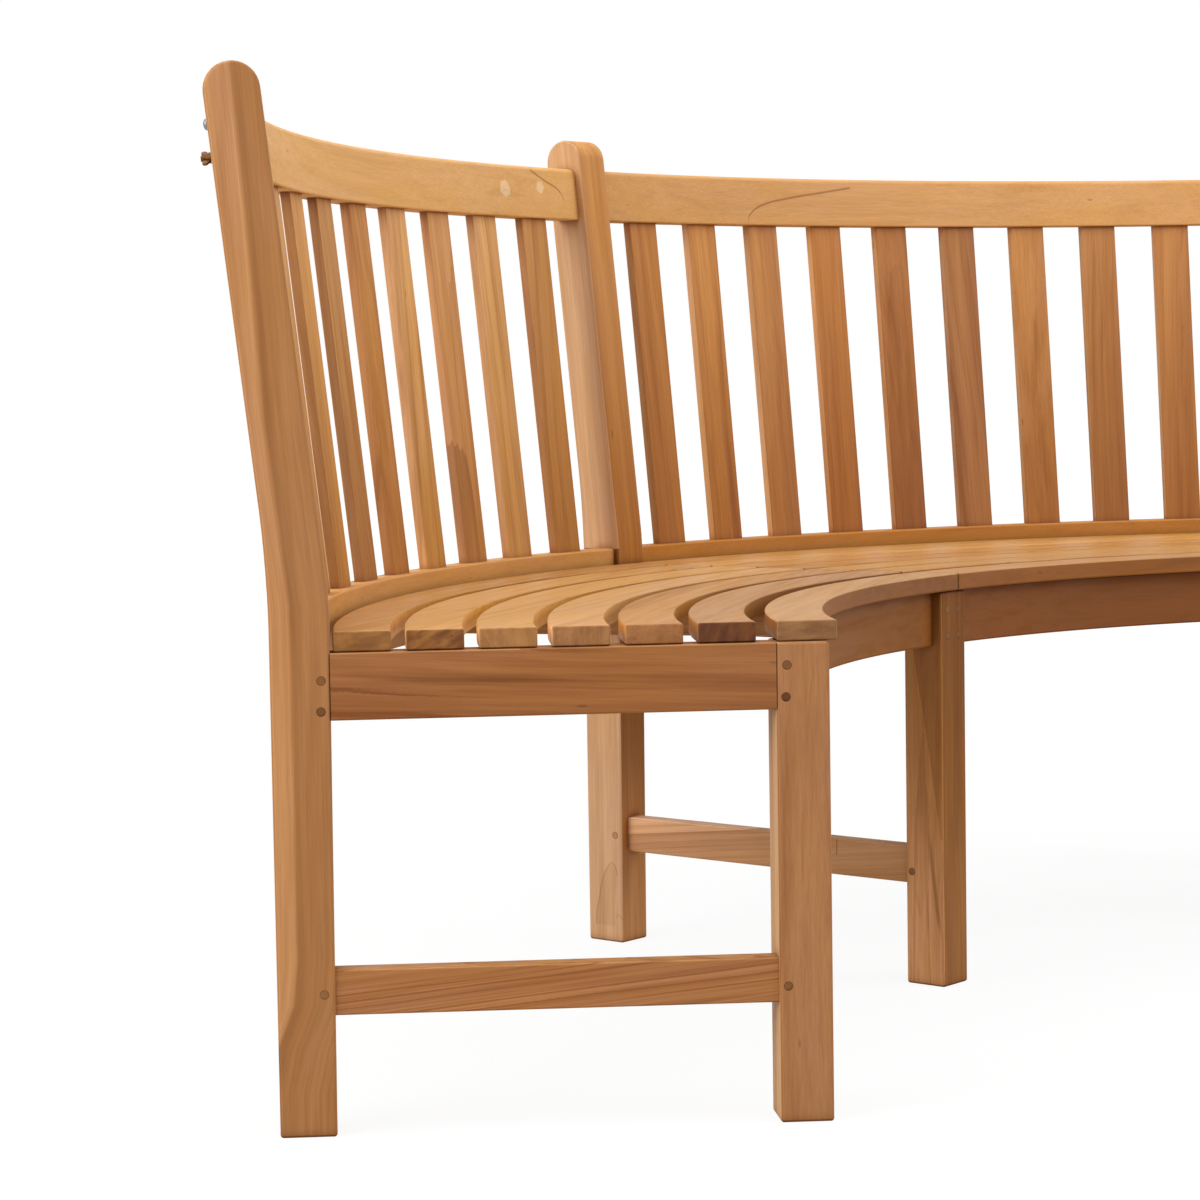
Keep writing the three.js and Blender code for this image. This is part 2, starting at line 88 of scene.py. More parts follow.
class BenchSizes(bpy.types.PropertyGroup):
    """The sizes of the bench's boards."""
    ring_axis: length("Ring axis", "Where the ring's axis stands on the Y axis", LEG_LOW.y - LEG_FRONT_RADIUS)
    bench_angle: rotation("Bench angle", "Between the outer faces of the end frames", 90)
    board_steps: count("Board steps", "Facets along a curved board", 48)
    thickness: length("Frame thickness", "Of the posts and legs", POST_HIGH.x - POST_LOW.x)
    leg_depth: length("Leg depth", "Front to back", LEG_HIGH.y - LEG_LOW.y)
    leg_height: length("Leg height", "To the top of the aprons", LEG_HIGH.z)
    post_front: length("Post front", "Radius of the posts' front faces at the seat", 1.2104)
    post_depth: length("Post depth", "At the seat", 0.0513)
    post_top_depth: length("Post top depth", "Above the bend", 0.0482)
    post_height: length("Post height", "To the round top", 0.903)
    post_foot_taper: length("Post foot taper", "By which the front face leans back to the foot", 0.003)
    bend_height: length("Bend height", "Where the posts begin to lean", 0.4515)
    front_bend: length("Front bend", "From the bend to where its round starts", 0.016)
    rear_bend: length("Rear bend", "From the bend to where its round starts", 0.05)
    lean: rotation("Lean", "Of the back", 6.25)
    apron_height: length("Apron height", "Side and front aprons", 0.057)
    side_apron: length("Side apron", "Thickness", 0.028)
    stretcher: length("Stretcher", "Thickness", 0.022)
    stretcher_setback: length("Stretcher setback", "From the outer face of an end frame", 0.003)
    stretcher_height: length("Stretcher height", "Top to bottom", 0.0388)
    stretcher_bottom: length("Stretcher bottom", "Above the ground", 0.1033)
    front_apron_setback: length("Front apron setback", "From the legs' front faces", 0.011)
    front_apron: length("Front apron", "Thickness", 0.024)
    lower_rail_setback: length("Lower rail setback", "From the posts' front faces", 0.007)
    lower_rail: length("Lower rail", "Thickness", 0.028)
    lower_rail_height: length("Lower rail height", "Top to bottom", 0.07)
    lower_rail_top: length("Lower rail top", "Above the ground", 0.4458)
    top_rail_setback: length("Top rail setback", "From the posts' front faces", 0.0095)
    top_rail: length("Top rail", "Thickness", 0.029)
    top_rail_height: length("Top rail height", "Top to bottom", 0.0578)
    top_rail_drop: length("Top rail drop", "From the posts' tops to the rail's top", 0.0323)
    top_rail_round: length("Top rail round", "Radius of its two upper edges", 0.006)
    slat_count: count("Back slats", "In each bay", 9)
    slat_width: length("Back slat width", "Across the grain", 0.0452)
    slat: length("Back slat", "Thickness", 0.0106)
    slat_foot: length("Slat foot", "From the front of the lower rail to the slats", 0.0095)
    slat_head: length("Slat head", "From the front of the top rail to the slats", 0.0065)
    slat_sink: length("Slat sink", "How far a slat goes into a rail", 0.004)
    batten_width: length("Batten width", "Of the bearer under the middle of a bay", 0.032)
    batten_height: length("Batten height", "Top to bottom", 0.0225)
    seat_front: length("Seat front", "Radius of the front slat's inner edge", 0.783)
    seat_height: length("Seat height", "Above the ground", 0.4285)
    seat_slat: length("Seat slat", "Thickness", 0.0175)
    seat_count: count("Seat slats", "In each bay", 7)
    front_slat_width: length("Front slat width", "Across the front slat", 0.051)
    front_slat_gap: length("Front slat gap", "Behind the front slat", 0.0178)
    seat_slat_width: length("Seat slat width", "Across each other slat", 0.0491)
    seat_slat_gap: length("Seat slat gap", "Between the other slats", 0.0124)
    seat_end_inset: length("Seat end inset", "From the end faces to the slats' ends", 0.0025)
    seat_seam: length("Seat seam", "Between the slats of the two bays", 0.0016)
    housing: length("Housing", "How far a board's end goes into the board it meets", 0.0004)
    edge_round: length("Edge round", "Radius of the sanded edges", 0.0028)
    seat_round: length("Seat round", "Radius of the seat slats' edges", 0.0018)
    foot_round: length("Foot round", "Radius of the edges round the posts' and legs' feet", 0.0045)
    plug: length("Plug", "Radius of the wooden plugs over the screws", 0.004)


class TeakFinish(bpy.types.PropertyGroup):
    """The colours of the oiled teak, for each sort of board: between the growth rings, and late wood."""
    frame_pale: colour("Frame pale", "Posts and legs, between the growth rings", (0.68, 0.365, 0.162))
    frame_dark: colour("Frame dark", "Posts and legs, late wood", (0.37, 0.152, 0.05))
    rail_pale: colour("Rail pale", "Curved rails, between the growth rings", (0.7, 0.38, 0.14))
    rail_dark: colour("Rail dark", "Curved rails, late wood", (0.54, 0.27, 0.09))
    slat_pale: colour("Slat pale", "Back slats, between the growth rings", (0.63, 0.32, 0.113))
    slat_dark: colour("Slat dark", "Back slats, late wood", (0.32, 0.12, 0.032))
    seat_pale: colour("Seat pale", "Seat slats, between the growth rings", (0.73, 0.43, 0.19))
    seat_dark: colour("Seat dark", "Seat slats, late wood", (0.5, 0.255, 0.09))


def bench():
    return bpy.context.scene.bench_sizes


# Nodes


def add_node(tree, kind, settings=(), **inputs):
    """Adds a node. A number given for an input is set on it, and a Value is linked to it. i0, i1 and
    so on are inputs by number, and the others go by name, with _ for a space."""
    node = tree.nodes.new("ShaderNode" + kind)
    for name, value in dict(settings).items():
        setattr(node, name, value)
    for name, value in inputs.items():
        socket = node.inputs[int(name[1:]) if name[1:].isdigit() else name.replace("_", " ")]
        if isinstance(value, Value):
            tree.links.new(value.socket, socket)
        elif socket.type == "RGBA":
            socket.default_value = (*value[:3], 1)
        else:
            socket.default_value = value
    return node


class Value:
    """What a node gives. Arithmetic with it adds the nodes that do it."""

    def __init__(self, node, output=0):
        self.tree, self.socket = node.id_data, node.outputs[output]

    def math(self, operation, *others, kind="Math", output=0):
        inputs = {f"i{index}": value for index, value in enumerate((self, *others))}
        return new_value(self.tree, kind, output, {"operation": operation}, **inputs)

    def vector_math(self, operation, *others, output=0):
        return self.math(operation, *others, kind="VectorMath", output=output)

    def __add__(self, other):
        return self.math("ADD", other)

    def __sub__(self, other):
        return self.math("SUBTRACT", other)

    def __rsub__(self, other):
        return new_value(self.tree, "Math", 0, {"operation": "SUBTRACT"}, i0=other, i1=self)

    def __mul__(self, other):
        return self.math("MULTIPLY", other)

    def __pow__(self, other):
        return self.math("POWER", other)

    def __abs__(self):
        return self.math("ABSOLUTE")

    __radd__, __rmul__ = __add__, __mul__

    def at_least(self, other):
        return self.math("MAXIMUM", other)

    def near(self, middle, reach):
        """1 within a reach of a middle, else 0."""
        return self.math("COMPARE", middle, reach)

    def part(self, axis):
        return new_value(self.tree, "SeparateXYZ", axis, Vector=self)

    def noise(self, stretch, detail=2.0, roughness=0.5, output="Fac"):
        place = self.vector_math("MULTIPLY", stretch)
        return new_value(self.tree, "TexNoise", output, Vector=place, Scale=1.0, Detail=detail,
                         Roughness=roughness)

    def spread(self, low, high, to_low=0.0, to_high=1.0):
        """Maps the value softly from one range to another and holds it there."""
        return new_value(self.tree, "MapRange", 0, {"interpolation_type": "SMOOTHSTEP"}, Value=self,
                         From_Min=low, From_Max=high, To_Min=to_low, To_Max=to_high)


def new_value(tree, kind, output=0, settings=(), **inputs):
    """Adds a node and gives one of its outputs."""
    return Value(add_node(tree, kind, settings, **inputs), output)


def largest(values):
    first, *rest = values
    for value in rest:
        first = first.at_least(value)
    return first


def blend(tree, factor, first, second, mode="MIX"):
    return new_value(tree, "Mix", "Result", {"data_type": "RGBA", "blend_type": mode},
                     Factor=factor, A=first, B=second)


def tinted(colour_in, red, green, blue):
    """A colour times a factor for each of its channels."""
    factors = new_value(colour_in.tree, "CombineColor", 0, Red=red, Green=green, Blue=blue)
    return blend(colour_in.tree, 1.0, colour_in, factors, "MULTIPLY")


def new_material(name):
    """A material with no nodes, its tree, and the place on the object that its nodes start from."""
    material = bpy.data.materials.new(name)
    material.use_nodes = True
    tree = material.node_tree
    tree.nodes.clear()
    return material, tree, new_value(tree, "TexCoord", "Object")


def facing(tree, axis):
    return new_value(tree, "NewGeometry", "Normal").part(axis)


# Marks in the wood. MARK_LINES, on the top rails, are points (degrees to the right of the ring's middle,
# height), and MARK_SPOTS are (degrees, height, radius). On the middle frame, MIDDLE_LINES are (half width,
# strength, points), and they and the edges of the arches and the wedge have points (height, place on Y).
# The edge of the FLAME is (height, degrees), and its slat (degrees, and degrees to each side).

MARK_DEPTH = 0.45
MARK_LINES = (
    ((-4.71, 0.8659), (-3.54, 0.8548), (-2.52, 0.8457), (-2.17, 0.8371), (-2.09, 0.826)),
    ((11.93, 0.8169), (12.28, 0.8288), (13.26, 0.8387), (15.06, 0.8465), (17.17, 0.8532), (19.24, 0.8598)),
)
MARK_SPOTS = ((-7.1, 0.844, 0.0098), (-4.02, 0.8478, 0.0068))
FILLER = (0.85, 0.66, 0.45)
ARCH_LEFT = ((0.0183, 0.3207), (0.037, 0.3189), (0.0492, 0.3155), (0.0606, 0.3133), (0.0738, 0.3093),
             (0.0831, 0.3045), (0.0909, 0.2978))
ARCH_RIGHT = ((0.0183, 0.2925), (0.0492, 0.2925), (0.0765, 0.2895), (0.082, 0.2909), (0.0882, 0.2933),
              (0.0909, 0.2978))
ARCH_DEPTH = 0.09
MIDDLE_LINES = (
    (0.0012, 0.3, ARCH_LEFT),
    (0.0012, 0.3, ARCH_RIGHT[2:]),
    (0.001, 0.25, ((0.0275, 0.2927), (0.0327, 0.2885))),
    (0.001, 0.25, ((0.0229, 0.2816), (0.0283, 0.2845), (0.0327, 0.2885))),
    (0.0016, 0.25, ((0.1539, -0.1385), (0.2052, -0.1307), (0.2771, -0.1194), (0.3347, -0.1091),
                    (0.375, -0.104))),
    (0.0035, 0.35, ((0.045, -0.1385), (0.068, -0.134), (0.101, -0.1297), (0.13, -0.126), (0.17, -0.1225))),
    (0.0025, 0.1, ((0.0679, -0.1124), (0.1039, -0.1054))),
    (0.0012, 0.4, ((0.1244, 0.0), (0.1415, -0.0006))),
)
WIDE_LINE = 0.002
LEG_WEDGE = ((0.15, -0.1395), (0.2052, -0.1307), (0.2771, -0.1194), (0.3347, -0.1091), (0.41, -0.1))
WEDGE_DEPTH = 0.2
FLAME = ((0.43, -12.6), (0.4491, -12.7), (0.5162, -12.85), (0.5394, -12.94), (0.5584, -13.14), (0.567, -13.6),
         (0.575, -14.6))
FLAME_SLAT = (-13.4, 1.05)
FLAME_DEPTH = 0.3


def track(value, points):
    """A curve through points. Gives 1 while the value is on it, what the curve then says, and a number
    that falls from 1 to 0 towards its ends."""
    (start, _), (end, _) = points[0], points[-1]
    low = min(second for _, second in points)
    rise = max(second for _, second in points) - low
    along_it = new_value(value.tree, "MapRange", 0, {"clamp": False}, Value=value,
                         From_Min=start, From_Max=end)
    curve = add_node(value.tree, "FloatCurve", Value=along_it)
    knots = curve.mapping.curves[0].points
    while len(knots) < len(points):
        knots.new(0.5, 0.5)
    for knot, (first, second) in zip(knots, points):
        knot.location = ((first - start) / (end - start), (second - low) / rise)
    curve.mapping.update()
    ending = abs(along_it - 0.5).spread(0.25, 0.5, 1.0, 0.0)
    return along_it.near(0.5, 0.499), Value(curve).math("MULTIPLY_ADD", rise, low), ending


def round_ring(place):
    """A place's angle round the ring's axis, to the right, and its distance from the axis."""
    sideways = place.part("X")
    outwards = place.part("Y") - bench().ring_axis
    return sideways.math("ARCTAN2", outwards), (sideways * sideways + outwards * outwards) ** 0.5


def rail_marks(place):
    """The marks on the top rails' front faces: how dark a curved line in the wood is, and how pale the
    two filled spots are."""
    angle, radius = round_ring(place)
    height = place.part("Z")
    lines, spots = [], []
    for points in MARK_LINES:
        on_it, middle, _ = track(angle, [(math.radians(degrees), at) for degrees, at in points])
        lines.append(abs(height - middle).spread(0.0002, 0.002, 1.0, 0.0) * on_it)
    rough = place.noise((220, 220, 220)) * 0.008
    for degrees, middle, size in MARK_SPOTS:
        sideways = (angle - math.radians(degrees)) * TOP_RAIL_RADIUS
        upwards = height - middle
        reach = (sideways * sideways + upwards * upwards) ** 0.5 + rough
        spots.append(reach.spread(size + 0.003, size + 0.0045, 1.0, 0.0))
    front = radius.spread(TOP_RAIL_RADIUS + 0.008, TOP_RAIL_RADIUS + 0.013, 1.0, 0.0)
    return largest(lines) * front * MARK_DEPTH, largest(spots) * front * MARK_DEPTH


def middle_marks(place):
    """The marks on the left faces of the middle frame: arches low on the post, a hook on the stretcher,
    and streaks and a dark wedge on the leg."""
    height, depth = place.part("Z"), place.part("Y")
    marks = []
    for half, strength, points in MIDDLE_LINES:
        on_it, middle, ending = track(height, points)
        line = abs(depth - middle).spread(half * 0.2, half, strength, 0.0)
        marks.append(line * (on_it if half < WIDE_LINE else ending))
    on_it, left, _ = track(height, ARCH_LEFT)
    _, right, _ = track(height, ARCH_RIGHT)
    arch = (left - depth).spread(-0.001, 0.001, 0.0, ARCH_DEPTH) * (depth - right).spread(-0.002, 0.004)
    marks.append(arch * on_it)
    on_it, edge, _ = track(height, LEG_WEDGE)
    marks.append((edge - depth).spread(-0.001, 0.001, 0.0, WEDGE_DEPTH) * on_it)
    here = facing(place.tree, "X").spread(-0.85, -0.5, 1.0, 0.0) * place.part("X").near(-0.025, 0.0175)
    return largest(marks) * here, 0.0


def slat_marks(place):
    """The dark flame low on one back slat of the left bay."""
    angle, _ = round_ring(place)
    height = place.part("Z")
    licked = place.noise((260, 260, 9)).math("MULTIPLY_ADD", 0.03, height - 0.015)
    on_it, edge, _ = track(licked, [(at, math.radians(degrees)) for at, degrees in FLAME])
    here = angle.near(*(math.radians(degrees) for degrees in FLAME_SLAT))
    inside = (edge - angle).spread(-0.001, 0.002)
    return inside * on_it * here * height.spread(0.43, 0.53, 0.1, FLAME_DEPTH), 0.0


# Materials

MARKS = {"rail": rail_marks, "frame": middle_marks, "slat": slat_marks, "seat": None}
SHEEN = {"frame": 0.0, "rail": 0.05, "slat": 0.05, "seat": 0.12}
GOLDEN_FROM = {"frame": 0.5, "rail": 0.0, "slat": 0.0, "seat": 0.0}
MEAN_DEPTH = 0.43
SAPWOOD = 0.3
# Strength of the painted light and shade by height
PAINTED_HEIGHT_LIGHT = 0.18
SEAT_LEVEL, BACK_LEVEL = 0.38, 0.88
DEEPENING = (1.3, 1.9)
GOLDENING = (-0.035, -0.25)
REDDENING = -0.12
METALS = {"bronze": ((0.12, 0.05, 0.018), (0.36, 0.17, 0.07)),
          "steel": ((0.1, 0.05, 0.028), (0.2, 0.12, 0.07))}


def centred(grain, stretch):
    """Three numbers about 0 that change slowly along the fibres, to bend a pattern with."""
    return grain.noise(stretch, 1.0, 0.4, "Color").vector_math("SUBTRACT", (0.5, 0.5, 0.5))


def teak(name, pale, dark, sheen, golden_from, marks):
    """Oiled teak. It reads three attributes of a board: grain, its own place in the log in metres with X
    along the fibres; board, whose X is a face's tone, Y how golden it is and Z how dark it is where it
    is a sawn end; and figure, whose X is the strength of its ring lines and streaks, Y how red it is and
    Z the strength of its dark stains. The darker the tone, the deeper the colour. Far from the log's heart
    the wood is pale sapwood. marks, if any, gives how dark and how pale marks are at a place."""
    material, tree, place = new_material(name)
    grain, board, figure = (new_value(tree, "Attribute", "Vector", {"attribute_name": attribute})
                            for attribute in ("grain", "board", "figure"))
    tone, gold, end = (board.part(axis) for axis in "XYZ")
    ring_lines, red, stains = (figure.part(axis) for axis in "XYZ")

    # Growth rings round the log's heart, bent by slow waves along the log
    shift = centred(grain, (1.3, 6, 6))
    slow = shift.vector_math("MULTIPLY_ADD", (0, 0.06, 0.06), grain)
    bent = centred(grain, (9, 45, 45)).vector_math("MULTIPLY_ADD", (0, 0.007, 0.007), slow)
    rings = new_value(tree, "TexWave", "Fac",
                      {"wave_type": "RINGS", "rings_direction": "X", "wave_profile": "SAW"},
                      Vector=bent, Scale=22.0, Distortion=0.35, Detail=1.0, Detail_Scale=9.0,
                      Detail_Roughness=0.5)
    patches = bent.noise((1.8, 26, 26), 1.0).spread(0.42, 0.62)
    lines = rings.spread(0.72, 1.0) * patches * ring_lines

    # Broad soft bands, narrow streaks and fine fibres along the board
    bands = bent.noise((0.9, 34, 34), 1.5, 0.45).spread(0.3, 0.7)
    streaks = bent.noise((2.4, 120, 120)).spread(0.35, 0.75)
    threads = grain.noise((5, 330, 330)).spread(0.35, 0.7)
    fibres = grain.noise((18, 900, 900), 2.0, 0.55)
    depth = bands * 0.42 + streaks * 0.34 + threads * 0.26 + lines * 0.8
    contrast = ring_lines.spread(0.0, 1.0, 0.5, 1.0)
    wood = blend(tree, (depth - MEAN_DEPTH).math("MULTIPLY_ADD", contrast, MEAN_DEPTH), pale, dark)
    log_section = grain.vector_math("MULTIPLY", (0, 1, 1))
    wobbly = shift.vector_math("MULTIPLY_ADD", (0, 0.012, 0.012), log_section)
    across = wobbly.vector_math("LENGTH", output="Value")
    sap = across.spread(SAPWOOD - 0.002, SAPWOOD + 0.003)
    seam = across.spread(SAPWOOD - 0.012, SAPWOOD) * (1.0 - sap)
    tone_with_painted_shade = tone * (1.0 + sap * 0.36 + seam * -0.15)

    # Here and there a dark streak, thick in the middle and drawn out along the board
    veins = bent.noise((1.5, 60, 60), 2.0, 0.45).spread(0.56, 0.7)
    broken = grain.noise((7, 200, 200), 1.0).spread(0.3, 0.6, 0.4, 1.0)
    tone_with_painted_shade = tone_with_painted_shade * (1.0 + veins * broken * stains * -0.2).at_least(0.4)

    # Painted light and shade: golden boards are paler towards the top of the back and towards the foot, and
    # darkest at the seat
    height = place.part("Z")
    painted_height_light = height.spread(SEAT_LEVEL, BACK_LEVEL, -1, 1) + height.spread(0.0, SEAT_LEVEL, 2.6, 0.0)
    painted_height_light = painted_height_light * gold.spread(golden_from, golden_from + 0.8)
    tone_with_painted_shade = tone_with_painted_shade * (1.0 + painted_height_light * PAINTED_HEIGHT_LIGHT)

    # Painted shade: the wood is darkened where boards meet and in narrow gaps, by ambient occlusion
    corners = new_value(tree, "AmbientOcclusion", "AO", {"samples": 6}, Distance=0.014)
    tone_with_painted_shade = tone_with_painted_shade * corners.spread(0.15, 0.92, 0.36, 1.0)

    # Cloudy patches are pinker or more golden, and here and there a pin knot shows
    clouds = grain.noise((5, 22, 22)).spread(0.35, 0.65, -1, 1)
    warmth = gold + clouds * 0.35 + painted_height_light * -0.35
    cells = new_value(tree, "TexVoronoi", "Distance", Scale=1.0,
                      Vector=grain.vector_math("MULTIPLY", (9, 36, 36)))
    fibre_shade = fibres.spread(0.3, 0.7, 0.925, 1.045) * cells.spread(0.02, 0.065, 0.6, 1.0)
    redder = (1.0 + red * REDDENING) * fibre_shade
    if marks:
        dark_marks, pale_marks = marks(place)
        tone_with_painted_shade = tone_with_painted_shade * (1.0 - dark_marks)
        wood = blend(tree, pale_marks, wood, FILLER)
    green, blue = (tone_with_painted_shade ** deepening * redder * (1.0 + warmth * goldening)
                   for deepening, goldening in zip(DEEPENING, GOLDENING))
    wood = tinted(wood, tone_with_painted_shade * fibre_shade, green, blue)

    # A sawn end drinks the oil: darker and redder, with soft streaks and a few open pores
    smears = grain.noise((30, 45, 170)).spread(0.25, 0.75, -0.2, 0.2)
    pores = grain.noise((150, 420, 420), 1.0).spread(0.66, 0.78, 0, 0.1)
    drunk = (1.0 - end * 0.62 + end * smears - end * pores).at_least(0.05)
    sawn = tinted(wood, drunk, drunk ** (end * 0.36 + 1.05), drunk ** (end * 1.4 + 0.5))
    wood = blend(tree, end.spread(0.0, 0.05), wood, sawn)

    relief = fibres * 0.6 - lines * 0.4
    bump = new_value(tree, "Bump", Strength=0.25, Distance=0.0003, Height=relief)
    underside = facing(tree, "Z").spread(-0.2, 0.1, 0.95, 0.0)
    roughness = streaks.spread(0.0, 1.0, 0.58 - sheen, 0.7 - sheen).at_least(underside)
    shader = new_value(tree, "BsdfPrincipled", Base_Color=wood, Roughness=roughness, Normal=bump,
                       Specular_IOR_Level=0.3 + sheen / 2)
    add_node(tree, "OutputMaterial", Surface=shader)
    return material


def metal(name, base, worn):
    """A plated fitting, dull with rubbed spots."""
    material, tree, place = new_material(name)
    spots = place.noise((450, 450, 450), 3.0, 0.6)
    bump = new_value(tree, "Bump", Strength=0.3, Distance=0.0001, Height=place.noise((2200, 2200, 2200)))
    shader = new_value(tree, "BsdfPrincipled", Metallic=1.0, Normal=bump,
                       Base_Color=blend(tree, spots.spread(0.45, 0.7), base, worn),
                       Roughness=spots.spread(0.3, 0.7, 0.4, 0.55))
    add_node(tree, "OutputMaterial", Surface=shader)
    return material


def finish_of(slot):
    """The material of a slot of the record, made when it is first asked for."""
    name = slot.replace("_", " ")
    if name in bpy.data.materials:
        return bpy.data.materials[name]
    if slot in METALS:
        return metal(name, *METALS[slot])
    finish, sort = bpy.context.scene.teak_finish, slot.split("_")[0]
    return teak(name, getattr(finish, f"{sort}_pale"), getattr(finish, f"{sort}_dark"), SHEEN[sort],
                GOLDEN_FROM[sort], MARKS[sort])


# Modelling


def deselect():
    if bpy.context.object and bpy.context.object.mode != "OBJECT":
        bpy.ops.object.mode_set(mode="OBJECT")
    bpy.ops.object.select_all(action="DESELECT")


def take(piece):
    deselect()
    piece.select_set(True)
    bpy.context.view_layer.objects.active = piece


def edit(piece):
    """Takes a piece into edit mode with all of it selected."""
    take(piece)
    bpy.ops.object.mode_set(mode="EDIT")
    bpy.ops.mesh.select_all(action="SELECT")


def leave_edit():
    bpy.ops.object.mode_set(mode="OBJECT")


def apply_place():
    bpy.ops.object.transform_apply(location=True, rotation=True, scale=True)


def added(name):
    """The object that an operator has just added, named and with its place applied."""
    piece = bpy.context.object
    piece.name = name
    apply_place()
    return piece


def add_block(name, low, high):
    """A block between two corners."""
    deselect()
    low, high = Vector(low), Vector(high)
    bpy.ops.mesh.primitive_cube_add(size=1, location=(low + high) / 2, scale=high - low)
    return added(name)


def pick(piece, kind, test):
    """In edit mode, selects the vertices, edges or faces for which the test holds."""
    bpy.ops.mesh.select_mode(type=kind)
    bpy.ops.mesh.select_all(action="DESELECT")
    shape = bmesh.from_edit_mesh(piece.data)
    shape.normal_update()
    for part in {"VERT": shape.verts, "EDGE": shape.edges, "FACE": shape.faces}[kind]:
        if test(part):
            part.select_set(True)
    shape.select_flush_mode()
    bmesh.update_edit_mesh(piece.data)


def cut(point, normal, **options):
    """Cuts the piece that is being edited along a plane."""
    bpy.ops.mesh.select_all(action="SELECT")
    bpy.ops.mesh.bisect(plane_co=point, plane_no=normal, **options)


def merge(distance):
    """Merges the points of the piece that is being edited that lie together."""
    bpy.ops.mesh.select_all(action="SELECT")
    bpy.ops.mesh.remove_doubles(threshold=distance)


def round_picked(radius, segments, held=False):
    bpy.ops.mesh.bevel(offset=radius, segments=segments, affect="EDGES", clamp_overlap=held)


def is_sharp(edge):
    return len(edge.link_faces) == 2 and edge.calc_face_angle(0) > SHARP


def round_edges(piece, radius, segments=3, test=lambda edge: True):
    """Rounds the sharp edges for which the test holds."""
    edit(piece)
    pick(piece, "EDGE", lambda edge: is_sharp(edge) and test(edge))
    round_picked(radius, segments, held=True)
    leave_edit()


def along(axis):
    """A test for edges that run along an axis."""
    def test(edge):
        run = edge.verts[1].co - edge.verts[0].co
        return abs(run[axis]) > 0.9 * run.length
    return test


def round_foot(piece):
    """Rounds the long edges of a post or leg, and more at its foot."""
    def is_up(edge):
        return max(vertex.co.z for vertex in edge.verts) > 0.001
    round_edges(piece, bench().edge_round, 3, is_up)
    round_edges(piece, bench().foot_round, 4, lambda edge: not is_up(edge))


def cut_across(piece, steps, *more):
    """Divides an upright board into short lengths, and at some more heights."""
    edit(piece)
    high = piece.dimensions.z
    for height in [high * step / steps for step in range(1, steps)] + list(more):
        cut((0, 0, height), (0, 0, 1))
    leave_edit()


def smooth(piece):
    take(piece)
    bpy.ops.object.shade_smooth_by_angle(angle=SHARP)
    modifier = piece.modifiers.new("Flat faces", "WEIGHTED_NORMAL")
    modifier.keep_sharp = True
    bpy.ops.object.modifier_apply(modifier=modifier.name)


PLAIN = (1.0, 0.0, 0.0)


def plain(normal, centre):
    return PLAIN


EDGE_SHADE = 1.07
SLANT = 0.05
GOLD_SPREAD = 0.3
LOG_LENGTH = 40


def mark_board(piece, lengthwise, draw, tone, vary, gold=0.0, faces=plain, sawn=None, curved=False,
               red=0.0, figure=(0.3, 1.0), stains=(0.3, 1.2), heart=(0.03, 0.11), roll=None, slope=None,
               fine=1.0, straight=None):
    """Gives a board its place in the log, its colours and its sawn ends. lengthwise is the axis along
    its fibres, and vary is how far its tone may be from the one given. faces gives a face's own tone,
    gold and redness from its normal, as tangential, radial and upward parts, and its centre, and sawn how
    dark it is as a sawn end. Rounded edges are paler. roll turns the board in the log, slope slants its
    grain, fine narrows it, and straight undoes a bend that the fibres follow."""
    axes = [(lengthwise + step) % 3 for step in range(3)]
    mesh = piece.data
    points = [straight(vertex.co) if straight else vertex.co for vertex in mesh.vertices]
    spans = [[point[axis] for point in points] for axis in range(3)]
    middle = [0 if straight else (min(span) + max(span)) / 2 for span in spans]
    slants = [Matrix.Rotation(draw.uniform(-SLANT, SLANT), 3, axis) for axis in "ZY"]
    chance = Matrix.Rotation(draw.uniform(0, 2 * math.pi), 3, "X")
    turn = slants[0] @ slants[1] @ chance if roll is None else Matrix.Rotation(roll, 3, "X")
    if slope is not None:
        turn = Matrix.Rotation(slope, 3, "Z")
    place = Vector((draw.uniform(0, LOG_LENGTH), draw.uniform(*heart), 0))
    shade = draw.uniform(tone - vary, tone + vary)
    own_gold = gold + draw.uniform(-GOLD_SPREAD, GOLD_SPREAD)
    strength, stain = draw.uniform(*figure), draw.uniform(*stains)
    domains = {"grain": "POINT", "board": "FACE", "figure": "FACE"}
    for name, domain in domains.items():
        mesh.attributes.new(name, "FLOAT_VECTOR", domain)
    grain, board, lines = (mesh.attributes[name].data for name in domains)
    for index, point in enumerate(points):
        own = turn @ Vector([point[axis] - middle[axis] for axis in axes]) + place
        grain[index].vector = (own.x, own.y * fine, own.z * fine)
    for index, face in enumerate(mesh.polygons):
        normal, centre = face.normal, face.center
        if curved:
            angle = math.atan2(centre.x, centre.y)
            tangent = Vector((math.cos(angle), -math.sin(angle), 0))
            radial = Vector((math.sin(angle), math.cos(angle), 0))
            normal = Vector((normal.dot(tangent), normal.dot(radial), normal.z))
        # On some boards a face's tone, gold and redness carry painted light and shade
        face_tone, face_gold, face_red = faces(normal, centre)
        end = sawn(normal, centre) if sawn else 0.0
        rounded = sorted(abs(part) for part in normal)[1] > 0.3 and not end
        face_tone *= shade * (EDGE_SHADE if rounded else 1.0)
        board[index].vector = (face_tone, own_gold + face_gold, end)
        lines[index].vector = (strength, red + face_red, stain)


def end_of(darkness):
    """The sawn ends of a seat slat."""
    return lambda normal, centre: darkness * min(1, max(0, abs(normal.x) * 2 - 0.6))


def at_foot(normal, centre):
    """The sawn foot of a post or leg."""
    return 0.5 if normal.z < -0.9 else 0.0


